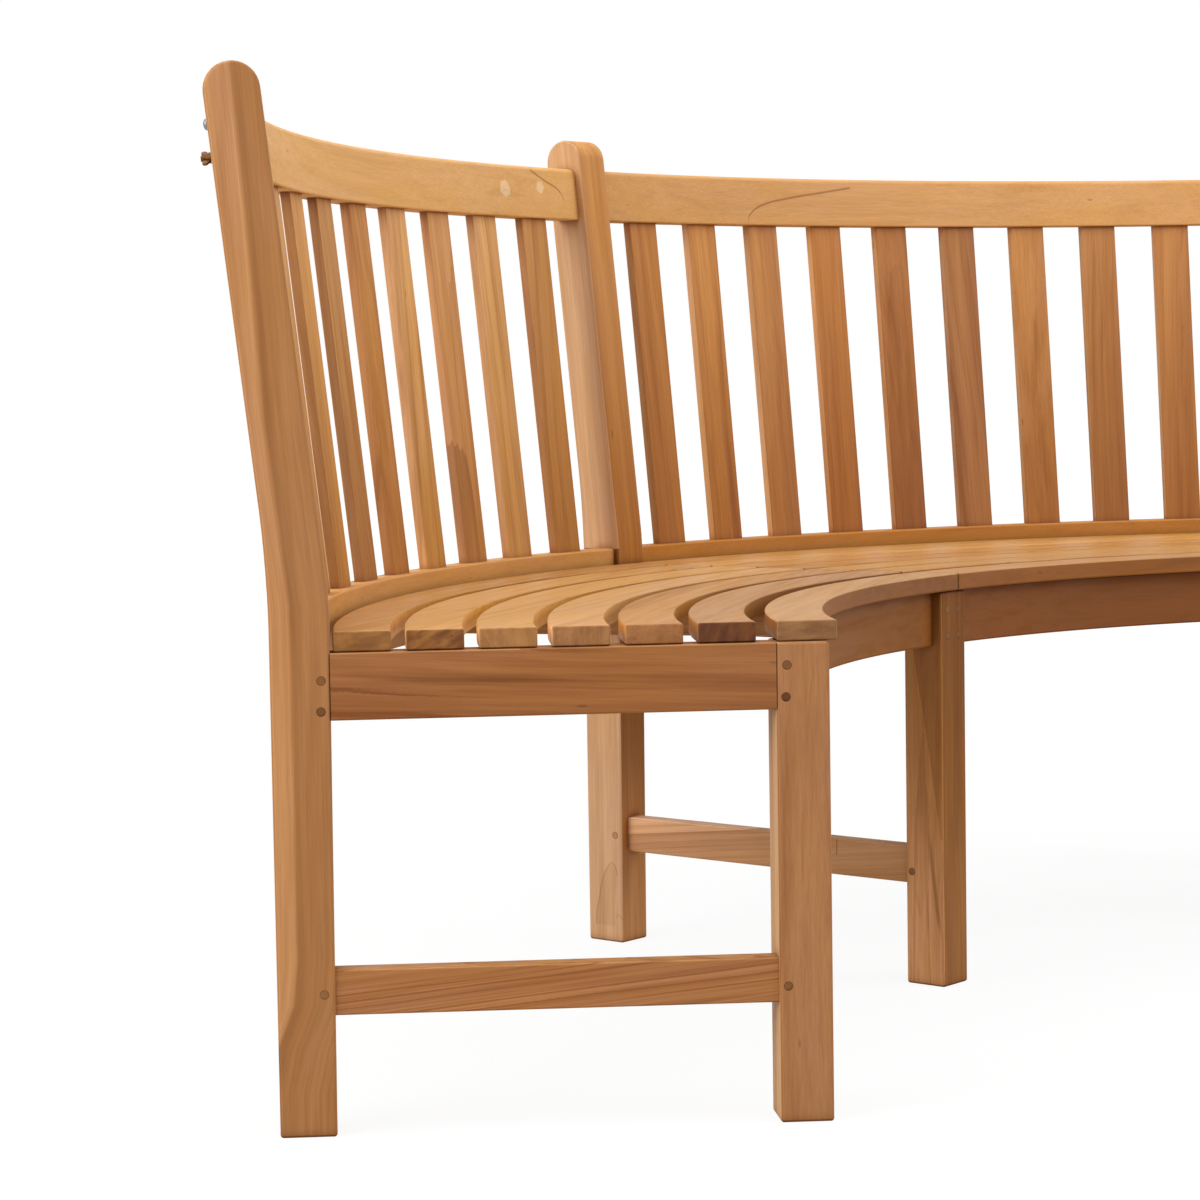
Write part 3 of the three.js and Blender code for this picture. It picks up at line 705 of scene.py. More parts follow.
def sides_of(left, front, right, rear, rear_edge=None, painted_rail_shadow=None):
    """The tone, gold and redness of a post's or leg's four faces, of its rounded rear edges, and of its left
    face where the end of the lower rail shades it. They are partly the wood's own tones and partly painted
    light and shade; the rear edges are painted darker, and the rail's shade is a painted shadow."""
    def shades(normal, centre):
        if rear_edge and abs(normal.x) > 0.3 and normal.y > 0.3:
            return rear_edge
        if painted_rail_shadow and normal.x < -0.7 and 0.41 < centre.z < 0.445:
            return painted_rail_shadow
        if abs(normal.x) > 0.7:
            return left if normal.x < 0 else right
        return front if normal.y < 0 else rear
    return shades


def seat_faces(end, index):
    """Painted shade in the gaps: the sides of a seat slat are darker than its top, least so near the left
    frame.
    """
    def shades(normal, centre):
        if abs(normal.x) > 0.5:
            return SEAT_ENDS[index]
        if normal.z > 0.38:
            return PLAIN
        angle = math.atan2(centre.x, centre.y) + end * bench().bench_angle / 4
        near = min(1, max(0, (-math.degrees(angle) - 15) / 30))
        if index == 0:
            return 0.61 + 0.15 * near, 2.6 - 0.6 * near, 1.3 - 0.4 * near
        if index < 3:
            return 0.7 + 0.7 * near, 1.5 - 0.4 * near, 0.7
        return 0.8 + 0.86 * near, 1.2 - 1.4 * near, 0.35 - 0.45 * near
    return shades


def slat_faces(side_tone, side_gold, side_red):
    """The sawn sides of a back slat are less golden than its planed faces, and their tone is painted light
    and shade.
    """
    return lambda normal, centre: (side_tone, side_gold, side_red) if abs(normal.x) > 0.9 else PLAIN


def paler_top(normal, centre):
    """Rain and light have faded the top of a low board."""
    return (1.18, -0.2, -1.0) if normal.z > 0.7 else PLAIN


def strip_width(height):
    """Width of the pale sapwood along the rear of the left post, at a height."""
    for (low, start), (high, end) in zip(SAP_STRIP, SAP_STRIP[1:]):
        if height <= high:
            return start + (end - start) * (height - low) / (high - low)
    return SAP_STRIP[-1][1]


def straightened(point):
    """A point of a post, whose fibres follow its bend."""
    return Vector((point.x, point.y - post_face(point.z), point.z))


def from_sapwood(point):
    """A point of the left post, from the front of its sapwood."""
    return straightened(point) + Vector((0, strip_width(point.z) - bench().post_depth, 0))


# The looks of single boards: a tone, how golden and how red, and for a back slat the tone of its sides.
# Back slats go from left to right and seat slats from front to rear. SAP_STRIP is (height, width),
# SIDE_PLUGS are (radius, height, tone), stains are a least and a greatest strength, SLAT_SIDE_HUES are
# how golden and how red the sides are, and SEAT_END_SHADES how dark the sawn ends are.

SAP_STRIP = ((-1.0, -0.012), (0.06, -0.008), (0.1, 0.012), (0.14, 0.018), (0.35, 0.017), (0.6, 0.015),
             (0.75, 0.022), (0.9, 0.027))
SIDE_PLUGS = ((1.2188, 0.3876, 0.5), (1.2194, 0.3615, 0.42), (1.2219, 0.1219, 0.62), (0.8264, 0.3912, 0.5),
              (0.8276, 0.3642, 0.36), (0.8284, 0.1178, 0.5))
PALE_PLUG, PALE_TONE = ("middle", 2), 0.95
FRONT_PLUGS = (-0.0107, 0.01)
FRONT_PLUG_HEIGHTS = (0.391, 0.364)
POST_HEARTS = {"left": SAPWOOD, "middle": 0.07, "right": 0.06}
# Painted shade in these: the left post's dark rear edge, and the middle post's painted shadow beside the
# lower rail's end
POST_FACES = {
    "left": sides_of((0.76, 0.5, 0.64), (1.02, 0.8, 0.0), (0.8, 0.5, 0.3), (0.7, 0.3, 0.0),
                     rear_edge=(0.53, 0.4, 0.4)),
    "middle": sides_of((1.17, -0.3, -0.48), (0.95, 2.15, 0.83), (0.8, 0.5, 0.3), (0.8, 0.3, 0.0),
                       painted_rail_shadow=(0.5, 0.8, 0.5)),
    "right": sides_of((0.8, 0.5, 0.3), (0.85, 0.8, 0.3), (0.8, 0.5, 0.5), (0.8, 0.3, 0.0)),
}
# Painted light and shade in these: the middle leg's dark front is painted shade, and the left leg's pale rear
# is painted light
LEG_FACES = {
    "left": sides_of((0.8, -0.2, 0.7), (0.75, 0.8, 0.5), (0.75, 0.5, 0.3), (1.0, -0.35, -0.6),
                     rear_edge=(0.58, 0.0, 0.6)),
    "middle": sides_of((0.93, 1.0, 0.76), (0.49, 2.55, 0.66), (0.75, 0.5, 0.3), (0.8, 0.0, 0.0)),
    "right": sides_of((0.75, 0.5, 0.3), (0.68, 0.8, 0.5), (0.82, 0.3, 0.3), (0.8, 0.0, 0.0)),
}
LEG_STAINS = {"left": (0.3, 0.4), "middle": (1.2, 1.4), "right": (0.6, 0.8)}
SIDE_APRONS = {"left": (0.69, 0.66, 1.24), "middle": (0.72, 0.65, 1.2), "right": (0.72, 0.65, 1.0)}
STRETCHERS = {"left": (0.81, 0.73, 1.04), "middle": (0.97, -0.3, 0.25), "right": (0.9, 0.5, 0.8)}
# The front aprons' low tone and deep gold are painted shade under the seat
RAILS = {
    "rail_top": {"left": (1.06, 1.1, 0.22), "right": (0.94, 0.66, 0.53)},
    "rail_lower": {"left": (1.26, 1.0, 0.6), "right": (1.03, 2.1, 1.2)},
    "apron_front": {"left": (0.5, 2.7, 1.15), "right": (0.46, 2.9, 1.7)},
}
# A back slat's fourth number, the tone of its sides, is painted light and shade: dark in the left bay, pale
# in the right
BACK_SLATS = {
    "left": ((1.02, 0.8, 0.2, 0.8), (1.15, 1.12, -0.07, 0.75), (1.19, 1.52, 0.18, 0.61),
             (1.08, 1.0, 0.05, 0.62), (1.05, 1.61, 0.62, 0.81), (1.34, 1.09, -0.05, 0.95),
             (1.14, 0.68, 0.46, 0.87), (1.32, 0.81, 0.01, 0.81), (1.1, 1.34, 0.32, 0.79)),
    "right": ((0.97, 2.18, 1.03, 1.3), (1.11, 2.05, 0.95, 1.45), (1.01, 1.21, 0.92, 1.49),
              (0.94, 2.12, 1.37, 1.57), (0.76, 1.32, 1.22, 1.71), (0.82, 0.62, 0.81, 1.35),
              (0.95, 1.3, 0.9, 1.2), (0.9, 0.8, 0.8, 1.2), (0.95, 1.1, 0.9, 1.2)),
}
SLAT_SIDE_HUES = {"left": (-1.1, 0.2), "right": (-1.4, -0.7)}
SEAT_SLATS = {
    "left": ((0.75, -0.05, 0.03), (0.68, 0.09, 0.28), (0.92, 0.49, 0.46), (1.1, 0.83, 0.28),
             (1.16, 0.88, 0.27), (1.18, 1.2, 0.43), (0.97, 1.24, 0.73)),
    "right": ((0.94, 0.68, 0.54), (0.97, 1.21, 0.55), (0.99, 1.8, 0.45), (0.89, 1.94, 0.95),
              (1.02, 1.92, 0.99), (1.19, 1.83, 0.82), (1.07, 1.45, 0.66)),
}
SEAT_END_SHADES = (0.62, 0.85, 0.4, 0.6, 0.44, 0.95, 0.66)
SEAT_ENDS = ((0.96, 0.0, 0.0), (0.74, 1.8, 0.9), (1.05, 0.0, 0.9), (1.0, 0.0, 0.6), (1.0, 0.0, 0.65),
             (1.0, 0.0, 0.1), (1.0, 0.0, 0.0))


def settle(piece, place, slot, *nodes):
    """Turns a finished board into its place on the bench and hands it to the frame."""
    take(piece)
    piece.matrix_world = place
    apply_place()
    piece.data.materials.clear()
    piece.data.materials.append(finish_of(slot))
    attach(piece, BODY)
    if nodes:
        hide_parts(*nodes)


def copy_of(model, name):
    """A copy of a board, with a mesh of its own."""
    piece = model.copy()
    piece.data = model.data.copy()
    piece.name = name
    bpy.context.scene.collection.objects.link(piece)
    return piece


def throw_away(model):
    bpy.data.objects.remove(model, do_unlink=True)


def frame_place(index):
    """Where a frame stands: 0 left, 1 middle, 2 right."""
    sizes = bench()
    turn = Matrix.Rotation((1 - index) * sizes.bench_angle / 2, 4, "Z")
    inwards = Matrix.Translation(((1 - index) * sizes.thickness / 2, 0, 0))
    return Matrix.Translation((0, sizes.ring_axis, 0)) @ turn @ inwards


def bay_place(end):
    """Where a bay stands: -1 left, 1 right."""
    sizes = bench()
    turn = Matrix.Rotation(-end * sizes.bench_angle / 4, 4, "Z")
    return Matrix.Translation((0, sizes.ring_axis, 0)) @ turn


def bay_faces(end):
    """How far the left and right frames' faces are from the planes at a bay's two sides."""
    sizes = bench()
    whole, half = sizes.thickness, sizes.thickness / 2
    return (whole, half) if end < 0 else (half, whole)


def post_face(height):
    """Radius of the posts' front faces at a height."""
    sizes = bench()
    if height > sizes.bend_height:
        return sizes.post_front + (height - sizes.bend_height) * math.tan(sizes.lean)
    return sizes.post_front + sizes.post_foot_taper * (1 - height / sizes.bend_height)


def end_planes(left_end, right_end):
    """The two planes that end a curved board, each as a point and the normal into the bay."""
    half = bench().bench_angle / 4
    left = Vector((math.cos(half), math.sin(half), 0))
    right = Vector((-math.cos(half), math.sin(half), 0))
    return ((left * left_end, left), (right * right_end, right))


def curved_board(name, section, left_end, right_end):
    """A board that follows the ring across a bay. Its section is the [radius, height] of its lower
    front, lower rear, upper front and upper rear corners. Each end is cut parallel to the frame there,
    at a distance from the plane through the ring's axis."""
    sizes = bench()
    half = sizes.bench_angle / 4
    outer = max(radius for radius, _ in section)
    start = math.asin(left_end / outer) - half - 0.001
    sweep = half - math.asin(right_end / outer) + 0.001 - start
    deselect()
    bpy.ops.mesh.primitive_plane_add(size=1)
    piece = bpy.context.object
    for vertex, (radius, height) in zip(piece.data.vertices, section):
        vertex.co = (0, radius, height)
    piece.rotation_euler.z = -start
    added(name)
    edit(piece)
    bpy.ops.mesh.spin(steps=sizes.board_steps, angle=sweep, center=(0, 0, 0), axis=(0, 0, 1))
    for point, normal in end_planes(left_end, right_end):
        cut(point, normal, use_fill=True, clear_inner=True)
    merge(TINY / 10)
    bpy.ops.mesh.normals_make_consistent(inside=False)
    leave_edit()
    return piece


def rectangle(inner, outer, bottom, top):
    return ((inner, bottom), (outer, bottom), (inner, top), (outer, top))


def off_ends(left_end, right_end):
    """A test for edges that aren't part of the ends of a curved board."""
    planes = end_planes(left_end, right_end)

    def at_end(vertex):
        return any((vertex.co - start).dot(normal) < TINY for start, normal in planes)
    return lambda edge: not all(at_end(vertex) for vertex in edge.verts)


def top_rail_corner():
    """Radius and height of the top rail's lower front corner."""
    sizes = bench()
    height = sizes.post_height - sizes.top_rail_drop - sizes.top_rail_height * math.cos(sizes.lean)
    return post_face(height) + sizes.top_rail_setback, height


def slat_line():
    """The middle of a back slat, from the lower rail to the top rail: radius, height, rise and lean."""
    sizes = bench()
    foot = sizes.post_front + sizes.lower_rail_setback + sizes.slat_foot + sizes.slat / 2
    radius, height = top_rail_corner()
    run = radius + (sizes.slat_head + sizes.slat / 2) / math.cos(sizes.lean) - foot
    climb = height - sizes.lower_rail_top
    return foot, sizes.lower_rail_top, math.hypot(run, climb), math.atan2(run, climb)


def slat_angles(end):
    """The angles of a bay's back slats, to the right of its middle, with equal gaps."""
    sizes = bench()
    radius = slat_line()[0]
    half = sizes.bench_angle / 4
    left_face, right_face = bay_faces(end)
    left = math.asin(left_face / radius) - half
    right = half - math.asin(right_face / radius)
    width = sizes.slat_width / radius
    gap = (right - left - sizes.slat_count * width) / (sizes.slat_count + 1)
    return [left + gap + width / 2 + index * (gap + width) for index in range(sizes.slat_count)]


# The pieces

HEAD = 0.8  # only a post's head is higher


class BENCH_OT_add_posts(bpy.types.Operator):
    """Adds the three back posts, which bend above the seat and have round tops"""
    bl_idname = "bench.add_posts"
    bl_label = "Back Posts"

    def execute(self, context):
        sizes = context.scene.bench_sizes
        half = sizes.thickness / 2
        front, rear = sizes.post_front, sizes.post_front + sizes.post_depth
        slope = math.tan(sizes.lean)
        rear_bend = sizes.bend_height + (sizes.post_depth - sizes.post_top_depth) / slope
        model = add_block("post", (-half, front, 0), (half, rear, sizes.post_height))
        edit(model)
        cut((0, front, sizes.bend_height), (0, sizes.bend_height - rear_bend, sizes.post_depth))
        pick(model, "EDGE", lambda edge: abs(edge.verts[0].co.y - edge.verts[1].co.y) > half and all(
            0.1 < vertex.co.z < HEAD for vertex in edge.verts))
        bpy.ops.mesh.dissolve_edges(use_verts=False)

        # The head is square to the lean, and its two edges are rounded until they meet
        radius = sizes.post_top_depth * math.cos(sizes.lean) / 2
        sine, cosine = math.sin(sizes.lean), math.cos(sizes.lean)
        corners = ((front, sine + cosine - 1, 0), (rear, cosine - sine - 1, sizes.post_top_depth))
        for at, rise, depth in corners:
            pick(model, "VERT", lambda vertex: vertex.co.z > HEAD and abs(vertex.co.y - at) < TINY)
            lift = radius * rise
            y = post_face(sizes.post_height + lift) + depth
            bpy.ops.transform.translate(value=(0, y - at, lift))
        pick(model, "VERT", lambda vertex: vertex.co.z < 0.01 and abs(vertex.co.y - front) < TINY)
        bpy.ops.transform.translate(value=(0, sizes.post_foot_taper, 0))
        across = along(0)
        pick(model, "EDGE", lambda edge: across(edge) and edge.verts[0].co.z > HEAD)
        round_picked(radius * 0.9995, 9)
        merge(TINY)
        bends = ((sizes.bend_height, sizes.front_bend, 4), (rear_bend, sizes.rear_bend, 6))
        for height, offset, steps in bends:
            pick(model, "EDGE", lambda edge: across(edge) and abs(edge.verts[0].co.z - height) < TINY)
            round_picked(offset, steps)
        leave_edit()
        round_foot(model)
        cut_across(model, 24, sizes.lower_rail_top)
        smooth(model)
        draw = random.Random(11)
        for index, side in enumerate(SIDES):
            piece = copy_of(model, f"post_{side}")
            figure, stains = ((0.05, 0.15), (0.05, 0.1)) if side == "middle" else ((0.2, 0.3), (0.3, 0.4))
            mark_board(piece, 2, draw, 1.0, 0.02, 0.2, POST_FACES[side], at_foot, roll=-math.pi / 2,
                       heart=(POST_HEARTS[side], POST_HEARTS[side]), figure=figure, stains=stains,
                       straight=from_sapwood if side == "left" else straightened)
            settle(piece, frame_place(index), "frame_teak", f"back_post_{side}")
        throw_away(model)
        return {"FINISHED"}


class BENCH_OT_add_legs(bpy.types.Operator):
    """Adds the three front legs"""
    bl_idname = "bench.add_legs"
    bl_label = "Front Legs"

    def execute(self, context):
        sizes = context.scene.bench_sizes
        half = sizes.thickness / 2
        model = add_block("leg", (-half, LEG_FRONT_RADIUS, 0),
                          (half, LEG_FRONT_RADIUS + sizes.leg_depth, sizes.leg_height))
        round_foot(model)
        smooth(model)
        draw = random.Random(23)
        for index, side in enumerate(SIDES):
            piece = copy_of(model, f"leg_{side}")
            mark_board(piece, 2, draw, 1.0, 0.02, 0.2, LEG_FACES[side], at_foot, stains=LEG_STAINS[side],
                       figure=(0.5, 0.7) if side == "middle" else (0.2, 0.5),
                       slope=0.03 if side == "middle" else None)
            settle(piece, frame_place(index), "frame_teak", f"front_leg_{side}")
        throw_away(model)
        return {"FINISHED"}


class BENCH_OT_add_side_members(bpy.types.Operator):
    """Adds the side aprons and stretchers, which join the legs to the posts"""
    bl_idname = "bench.add_side_members"
    bl_label = "Side Aprons and Stretchers"

    def execute(self, context):
        sizes = context.scene.bench_sizes
        draw = random.Random(37)
        rear = LEG_FRONT_RADIUS + sizes.leg_depth - sizes.housing
        members = (
            ("apron_side", "side_apron", sizes.leg_height - sizes.apron_height, sizes.apron_height,
             sizes.side_apron, 0, SIDE_APRONS, None, 1.0),
            ("stretcher", "side_stretcher", sizes.stretcher_bottom, sizes.stretcher_height,
             sizes.stretcher, sizes.stretcher_setback, STRETCHERS, 0.11, 2.5),
        )
        for name, node, bottom, height, thickness, setback, looks, slope, fine in members:
            top = bottom + height
            half = thickness / 2
            model = add_block(name, (-half, rear, bottom), (half, post_face(top) + sizes.housing, top))
            round_edges(model, sizes.edge_round * 0.7, test=along(1))
            smooth(model)
            for index, side in enumerate(SIDES):
                piece = copy_of(model, f"{name}_{side}")
                tone, gold, red = looks[side]
                figure, stains = ((0.3, 0.5), (0.3, 0.5)) if side == "middle" else ((1.4, 1.6), (1.0, 1.4))
                mark_board(piece, 1, draw, tone, 0.01, gold, paler_top, red=red,
                           figure=figure, stains=stains, slope=slope, fine=fine)
                offset = (index - 1) * (sizes.thickness / 2 - half - setback)
                place = frame_place(index) @ Matrix.Translation((offset, 0, 0))
                settle(piece, place, "frame_teak", f"{node}_{side}")
            throw_away(model)
        return {"FINISHED"}


class BENCH_OT_add_rails(bpy.types.Operator):
    """Adds the curved top rails, lower back rails and front aprons"""
    bl_idname = "bench.add_rails"
    bl_label = "Curved Rails"

    def execute(self, context):
        sizes = context.scene.bench_sizes
        sine, cosine = math.sin(sizes.lean), math.cos(sizes.lean)
        radius, height = top_rail_corner()
        corner = Vector((radius, height))
        level = Vector((sizes.top_rail / cosine, 0))
        up = Vector((sine, cosine)) * sizes.top_rail_height
        back = Vector((cosine, -sine)) * sizes.top_rail
        top = (corner, corner + level, corner + up, corner + up + back)
        lower_front = sizes.post_front + sizes.lower_rail_setback
        lower = rectangle(lower_front, lower_front + sizes.lower_rail,
                          sizes.lower_rail_top - sizes.lower_rail_height, sizes.lower_rail_top)
        apron_front = LEG_FRONT_RADIUS + sizes.front_apron_setback
        apron = rectangle(apron_front, apron_front + sizes.front_apron,
                          sizes.leg_height - sizes.apron_height, sizes.leg_height)
        draw = random.Random(41)
        for bay, end in BAYS:
            ends = [face - sizes.housing for face in bay_faces(end)]
            rails = (("rail_top", "top_rail", top), ("rail_lower", "lower_back_rail", lower),
                     ("apron_front", "front_apron", apron))
            for name, node, section in rails:
                piece = curved_board(f"{name}_{bay}", section, *ends)
                inside = off_ends(*ends)
                if name == "rail_top":
                    upper = height + sizes.top_rail_height / 2
                    round_edges(piece, sizes.top_rail_round, 5,
                                lambda edge: inside(edge) and edge.verts[0].co.z > upper)
                    round_edges(piece, sizes.edge_round * 0.7, 3,
                                lambda edge: inside(edge) and edge.verts[0].co.z < upper)
                else:
                    round_edges(piece, sizes.edge_round * 0.8, 3, inside)
                smooth(piece)
                tone, gold, red = RAILS[name][bay]
                mark_board(piece, 0, draw, tone, 0.01, gold, red=red, figure=(0.1, 0.3),
                           stains=(0.2, 0.5), curved=True)
                settle(piece, bay_place(end), "rail_teak", f"{node}_{bay}")
        return {"FINISHED"}


class BENCH_OT_add_battens(bpy.types.Operator):
    """Adds the bearer under the middle of each bay's seat"""
    bl_idname = "bench.add_battens"
    bl_label = "Seat Battens"

    def execute(self, context):
        sizes = context.scene.bench_sizes
        half = sizes.batten_width / 2
        front = LEG_FRONT_RADIUS + sizes.front_apron_setback + sizes.front_apron - sizes.housing
        rail = sizes.post_front + sizes.lower_rail_setback
        rear = math.sqrt(rail ** 2 - half ** 2) + sizes.housing
        model = add_block("batten", (-half, front, sizes.leg_height - sizes.batten_height),
                          (half, rear, sizes.leg_height))
        round_edges(model, sizes.edge_round * 0.6, test=along(1))
        smooth(model)
        draw = random.Random(53)
        for bay, end in BAYS:
            piece = copy_of(model, f"batten_{bay}")
            mark_board(piece, 1, draw, 0.89, 0.03)
            angles = slat_angles(end)
            turn = Matrix.Rotation(-angles[len(angles) // 2], 4, "Z")
            settle(piece, bay_place(end) @ turn, "frame_teak", f"seat_batten_{bay}")
        throw_away(model)
        return {"FINISHED"}


class BENCH_OT_add_back_slats(bpy.types.Operator):
    """Adds the straight slats of the back, nine to a bay"""
    bl_idname = "bench.add_back_slats"
    bl_label = "Back Slats"

    def execute(self, context):
        sizes = context.scene.bench_sizes
        radius, height, rise, lean = slat_line()
        half, thin = sizes.slat_width / 2, sizes.slat / 2
        model = add_block("slat", (-half, -thin, -sizes.slat_sink), (half, thin, rise + sizes.slat_sink))
        round_edges(model, sizes.edge_round * 0.6, test=along(2))
        smooth(model)
        draw = random.Random(67)
        for bay, end in BAYS:
            for index, angle in enumerate(slat_angles(end)):
                piece = copy_of(model, f"slat_back_{bay}_{index + 1}")
                tone, gold, red, side_tone = BACK_SLATS[bay][index]
                mark_board(piece, 2, draw, tone, 0.02, gold, slat_faces(side_tone, *SLAT_SIDE_HUES[bay]),
                           red=red, figure=(0.15, 0.5), stains=(0.1, 1.0))
                place = (bay_place(end) @ Matrix.Rotation(-angle, 4, "Z")
                         @ Matrix.Translation((0, radius, height)) @ Matrix.Rotation(-lean, 4, "X"))
                settle(piece, place, "slat_teak", f"back_slat_{bay}_{index + 1}")
        throw_away(model)
        return {"FINISHED"}


class BENCH_OT_add_seat_slats(bpy.types.Operator):
    """Adds the curved slats of the seat, seven to a bay"""
    bl_idname = "bench.add_seat_slats"
    bl_label = "Seat Slats"

    def execute(self, context):
        sizes = context.scene.bench_sizes
        draw = random.Random(71)
        for bay, end in BAYS:
            ends = [sizes.seat_end_inset, sizes.seat_seam / 2]
            if end > 0:
                ends.reverse()
            inner = sizes.seat_front
            for index in range(sizes.seat_count):
                outer = inner + (sizes.seat_slat_width if index else sizes.front_slat_width)
                section = rectangle(inner, outer, sizes.seat_height - sizes.seat_slat, sizes.seat_height)
                piece = curved_board(f"slat_seat_{bay}_{index + 1}", section, *ends)
                round_edges(piece, sizes.seat_round, 4)
                smooth(piece)
                tone, gold, red = SEAT_SLATS[bay][index]
                mark_board(piece, 0, draw, tone, 0.03, gold, seat_faces(end, index), red=red, curved=True,
                           sawn=end_of(SEAT_END_SHADES[index]), figure=(0.1, 0.6))
                settle(piece, bay_place(end), "seat_teak", f"seat_slat_{bay}_{index + 1}")
                inner = outer + (sizes.seat_slat_gap if index else sizes.front_slat_gap)
        return {"FINISHED"}


def add_plug(name, radius):
    """A wooden plug that stands a little out of its hole, with a dark line of glue round it. Its
    face is at the origin and looks along Z."""
    deselect()
    depth = 0.004
    bpy.ops.mesh.primitive_cylinder_add(vertices=28, radius=radius, depth=depth, location=(0, 0, -depth / 2))
    plug = added(name)
    edit(plug)
    pick(plug, "FACE", lambda face: face.normal.z > 0.9)
    bpy.ops.transform.translate(value=(0, 0, 0.00003))

    # A ring of glue, the plug's step out of it, and its domed edge
    for thickness, lift in ((0.0005, 0.0), (0.0002, 0.00012), (0.0005, 0.00006)):
        bpy.ops.mesh.inset(thickness=thickness, depth=lift)
    leave_edit()
    return plug


def glue_line(radius):
    """The tone of a plug's faces: dark where the glue shows round it."""
    def shades(normal, centre):
        edge = math.hypot(centre.x, centre.y) > radius - 0.0006
        return (0.5, 0.5, 0.0) if edge else (1.0, 0.3, 0.0)
    return shades


class BENCH_OT_add_plugs(bpy.types.Operator):
    """Adds the wooden plugs over the screws of the posts and legs"""
    bl_idname = "bench.add_plugs"
    bl_label = "Plugs"

    def execute(self, context):
        sizes = context.scene.bench_sizes
        model = add_plug("plug", sizes.plug)
        smooth(model)
        draw = random.Random(83)
        half = sizes.thickness / 2
        for index, side in enumerate(SIDES):
            outwards = 1 if side == "right" else -1
            turn = Matrix.Rotation(outwards * math.pi / 2, 4, "Y")
            forwards = Matrix.Rotation(math.pi / 2, 4, "X")
            spots = [(Vector((outwards * half, radius, height)), turn, tone)
                     for radius, height, tone in SIDE_PLUGS]
            columns = FRONT_PLUGS if side == "middle" else [x for x in FRONT_PLUGS if x * outwards < 0]
            spots += [(Vector((x, LEG_FRONT_RADIUS, height)), forwards, 0.5)
                      for x in columns for height in FRONT_PLUG_HEIGHTS]
            for number, (spot, aim, tone) in enumerate(spots):
                if (side, number) == PALE_PLUG:
                    tone = PALE_TONE
                piece = copy_of(model, f"plug_{side}_{number + 1}")
                mark_board(piece, 2, draw, tone, 0.03, 0.3, glue_line(sizes.plug),
                           lambda normal, centre: 0.2)
                place = frame_place(index) @ Matrix.Translation(spot) @ aim
                settle(piece, place, "frame_teak")
        throw_away(model)
        return {"FINISHED"}


class BENCH_OT_dress_fittings(bpy.types.Operator):
    """Finishes the link screws, coupling studs and wing nuts behind the end posts"""
    bl_idname = "bench.dress_fittings"
    bl_label = "Fittings"

    def execute(self, context):
        for node, slot in (("link_screw", "steel"), ("hanger_stud", "bronze"), ("wing_nut", "bronze")):
            for side in ("left", "right"):
                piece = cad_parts[f"{node}_{side}"]
                piece.data.materials.clear()
                piece.data.materials.append(finish_of(slot))
        return {"FINISHED"}


# The studio

# Each lamp's name, place, target, size and power
LAMPS = (
    ("key", (-4.0, 1.2, 2.2), (-0.3, 0.1, 0.4), (3.0, 2.4), 120),
    ("overhead", (-0.3, -0.4, 3.4), (-0.3, -0.3, 0.4), (5.0, 5.0), 88),
    ("front", (1.6, -4.0, 2.4), (-0.2, 0.1, 0.6), (2.4, 1.6), 54),
)
WHITE, PAPER = (1, 1, 1), ((0.6, 0.6, 0.6), (0.63, 0.63, 0.63))
FLOOR_SIZE = 60
FLOOR_GLOW = 0.82
SKY = (0.36, 1.0)  # as light on the bench, and as seen directly
# The camera looks at the outer face of the left frame. It is placed from the ring's axis, in axes that are
# turned by CAMERA_TURN, in which that face looks along -Y
CAMERA_TURN = math.radians(-45)
CAMERA_PLACE = (-1.25275, -2.51514, 0.63251)
CAMERA_RIGHT = (0.99877, -0.04494, -0.02091)
CAMERA_UP = (0.02402, 0.06985, 0.99727)
CAMERA_AHEAD = (0.04335, 0.99654, -0.07085)
CAMERA_LENS = {"lens": 90.59, "sensor_width": 36, "shift_x": 0.1588, "clip_end": 200}


def add_lamp(name, place, target, size, power):
    lamp = bpy.data.lights.new(name, "AREA")
    lamp.shape = "RECTANGLE"
    lamp.size, lamp.size_y = size
    lamp.energy = power
    holder = bpy.data.objects.new(name, lamp)
    holder.location = place
    holder.rotation_euler = (Vector(target) - Vector(place)).to_track_quat("-Z", "Y").to_euler()
    bpy.context.scene.collection.objects.link(holder)


def seen_directly(tree):
    """1 for rays from the camera, and for what gloss and glass show."""
    return largest(new_value(tree, "LightPath", f"Is {ray} Ray")
                   for ray in ("Camera", "Glossy", "Transmission"))


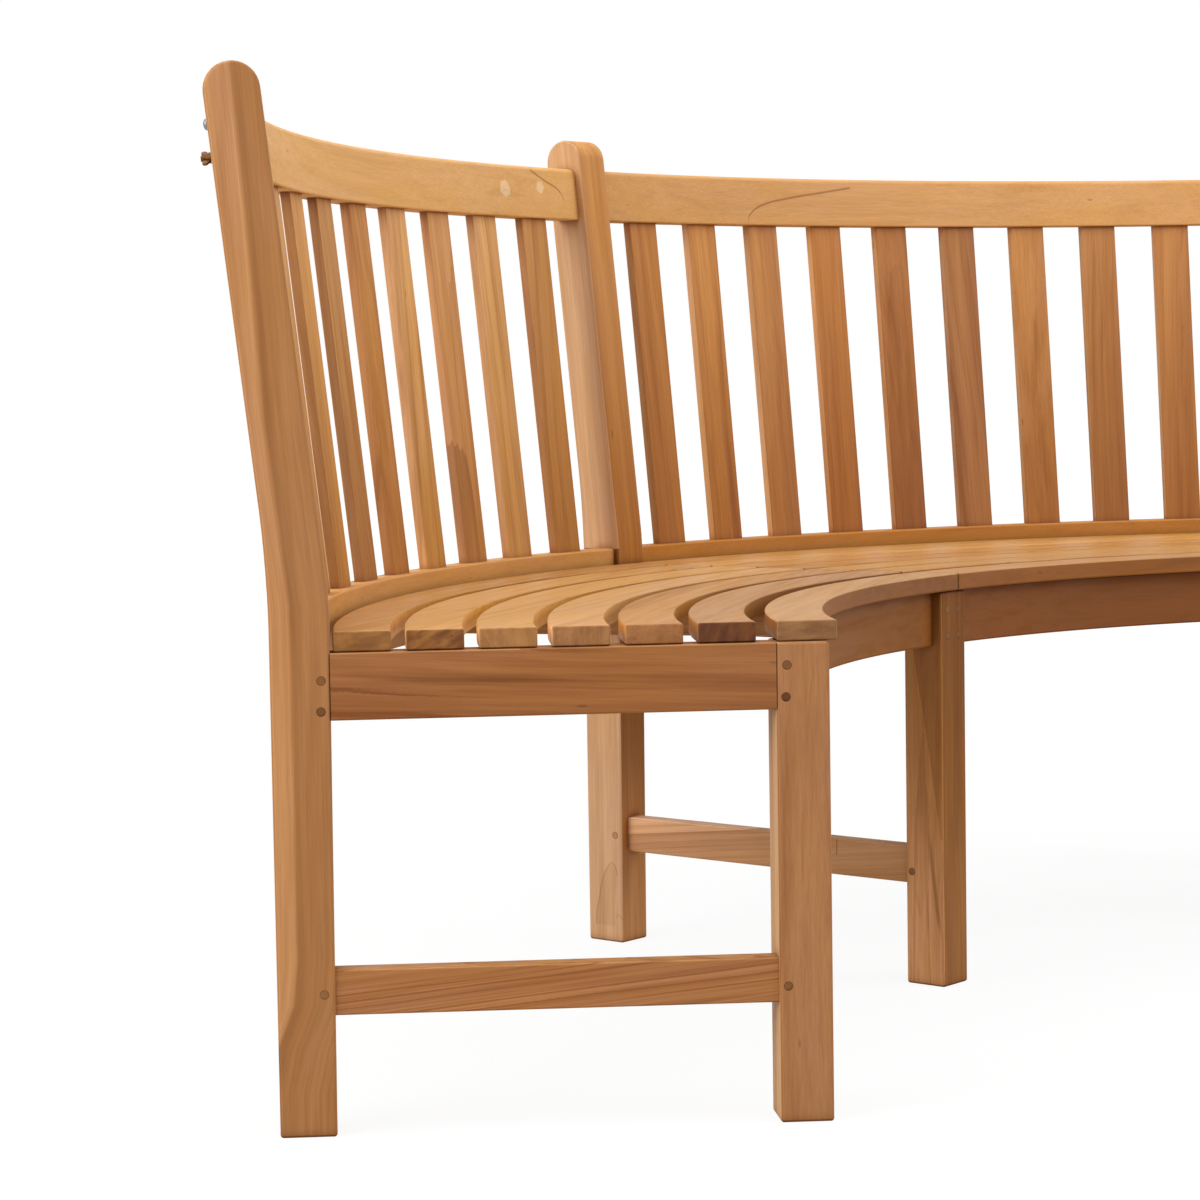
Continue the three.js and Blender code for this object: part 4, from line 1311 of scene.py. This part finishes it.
class BENCH_OT_add_studio(bpy.types.Operator):
    """Adds the pale floor, the soft lamps and the camera"""
    bl_idname = "bench.add_studio"
    bl_label = "Studio"

    def execute(self, context):
        deselect()
        bpy.ops.mesh.primitive_plane_add(size=FLOOR_SIZE)
        floor = context.object
        floor.name = "floor"
        material, tree, place = new_material("floor paper")
        paper = new_value(tree, "BsdfDiffuse", Color=blend(tree, place.noise((3, 3, 3)), *PAPER))
        away = place.vector_math("LENGTH", output="Value")
        glow = new_value(tree, "Emission", Color=WHITE, Strength=away.spread(1.4, 6.0, 1.1, 1.2))
        mix = new_value(tree, "MixShader", Fac=seen_directly(tree) * FLOOR_GLOW, i1=paper, i2=glow)
        add_node(tree, "OutputMaterial", Surface=mix)
        floor.data.materials.append(material)

        world = bpy.data.worlds.new("studio")
        context.scene.world = world
        world.use_nodes = True
        tree = world.node_tree
        tree.nodes.clear()
        strength = new_value(tree, "MapRange", Value=seen_directly(tree), To_Min=SKY[0], To_Max=SKY[1])
        add_node(tree, "OutputWorld", Surface=new_value(tree, "Background", Color=WHITE, Strength=strength))
        for lamp in LAMPS:
            add_lamp(*lamp)

        camera = bpy.data.cameras.new("camera")
        for setting, value in CAMERA_LENS.items():
            setattr(camera, setting, value)
        holder = bpy.data.objects.new("camera", camera)
        axes = Matrix((CAMERA_RIGHT, CAMERA_UP, -Vector(CAMERA_AHEAD))).transposed().to_4x4()
        turn = Matrix.Rotation(CAMERA_TURN, 4, "Z")
        eye = turn @ Matrix.Translation(CAMERA_PLACE) @ axes
        holder.matrix_world = Matrix.Translation((0, bench().ring_axis, 0)) @ eye
        context.scene.collection.objects.link(holder)
        context.scene.camera = holder
        context.scene.view_settings.view_transform = "Standard"
        return {"FINISHED"}


STEPS = (
    BENCH_OT_add_posts, BENCH_OT_add_legs, BENCH_OT_add_side_members, BENCH_OT_add_rails,
    BENCH_OT_add_battens, BENCH_OT_add_back_slats, BENCH_OT_add_seat_slats, BENCH_OT_add_plugs,
    BENCH_OT_dress_fittings, BENCH_OT_add_studio,
)


class BENCH_PT_panel(bpy.types.Panel):
    """The bench's pieces, sizes and finishes"""
    bl_idname = "BENCH_PT_panel"
    bl_label = "Curved Garden Bench"
    bl_space_type = "VIEW_3D"
    bl_region_type = "UI"
    bl_category = "Bench"

    def draw(self, context):
        layout = self.layout
        for step in STEPS:
            layout.operator(step.bl_idname)
        for group in (context.scene.bench_sizes, context.scene.teak_finish):
            box = layout.box()
            for name in group.__annotations__:
                box.prop(group, name)


CLASSES = (BenchSizes, TeakFinish, *STEPS, BENCH_PT_panel)


def register():
    for item in CLASSES:
        bpy.utils.register_class(item)
    bpy.types.Scene.bench_sizes = PointerProperty(type=BenchSizes)
    bpy.types.Scene.teak_finish = PointerProperty(type=TeakFinish)


def unregister():
    del bpy.types.Scene.teak_finish
    del bpy.types.Scene.bench_sizes
    for item in reversed(CLASSES):
        bpy.utils.unregister_class(item)


def main():
    register()
    for step in STEPS:
        group, name = step.bl_idname.split(".")
        getattr(getattr(bpy.ops, group), name)()
    deselect()


if __name__ == "__main__":
    main()
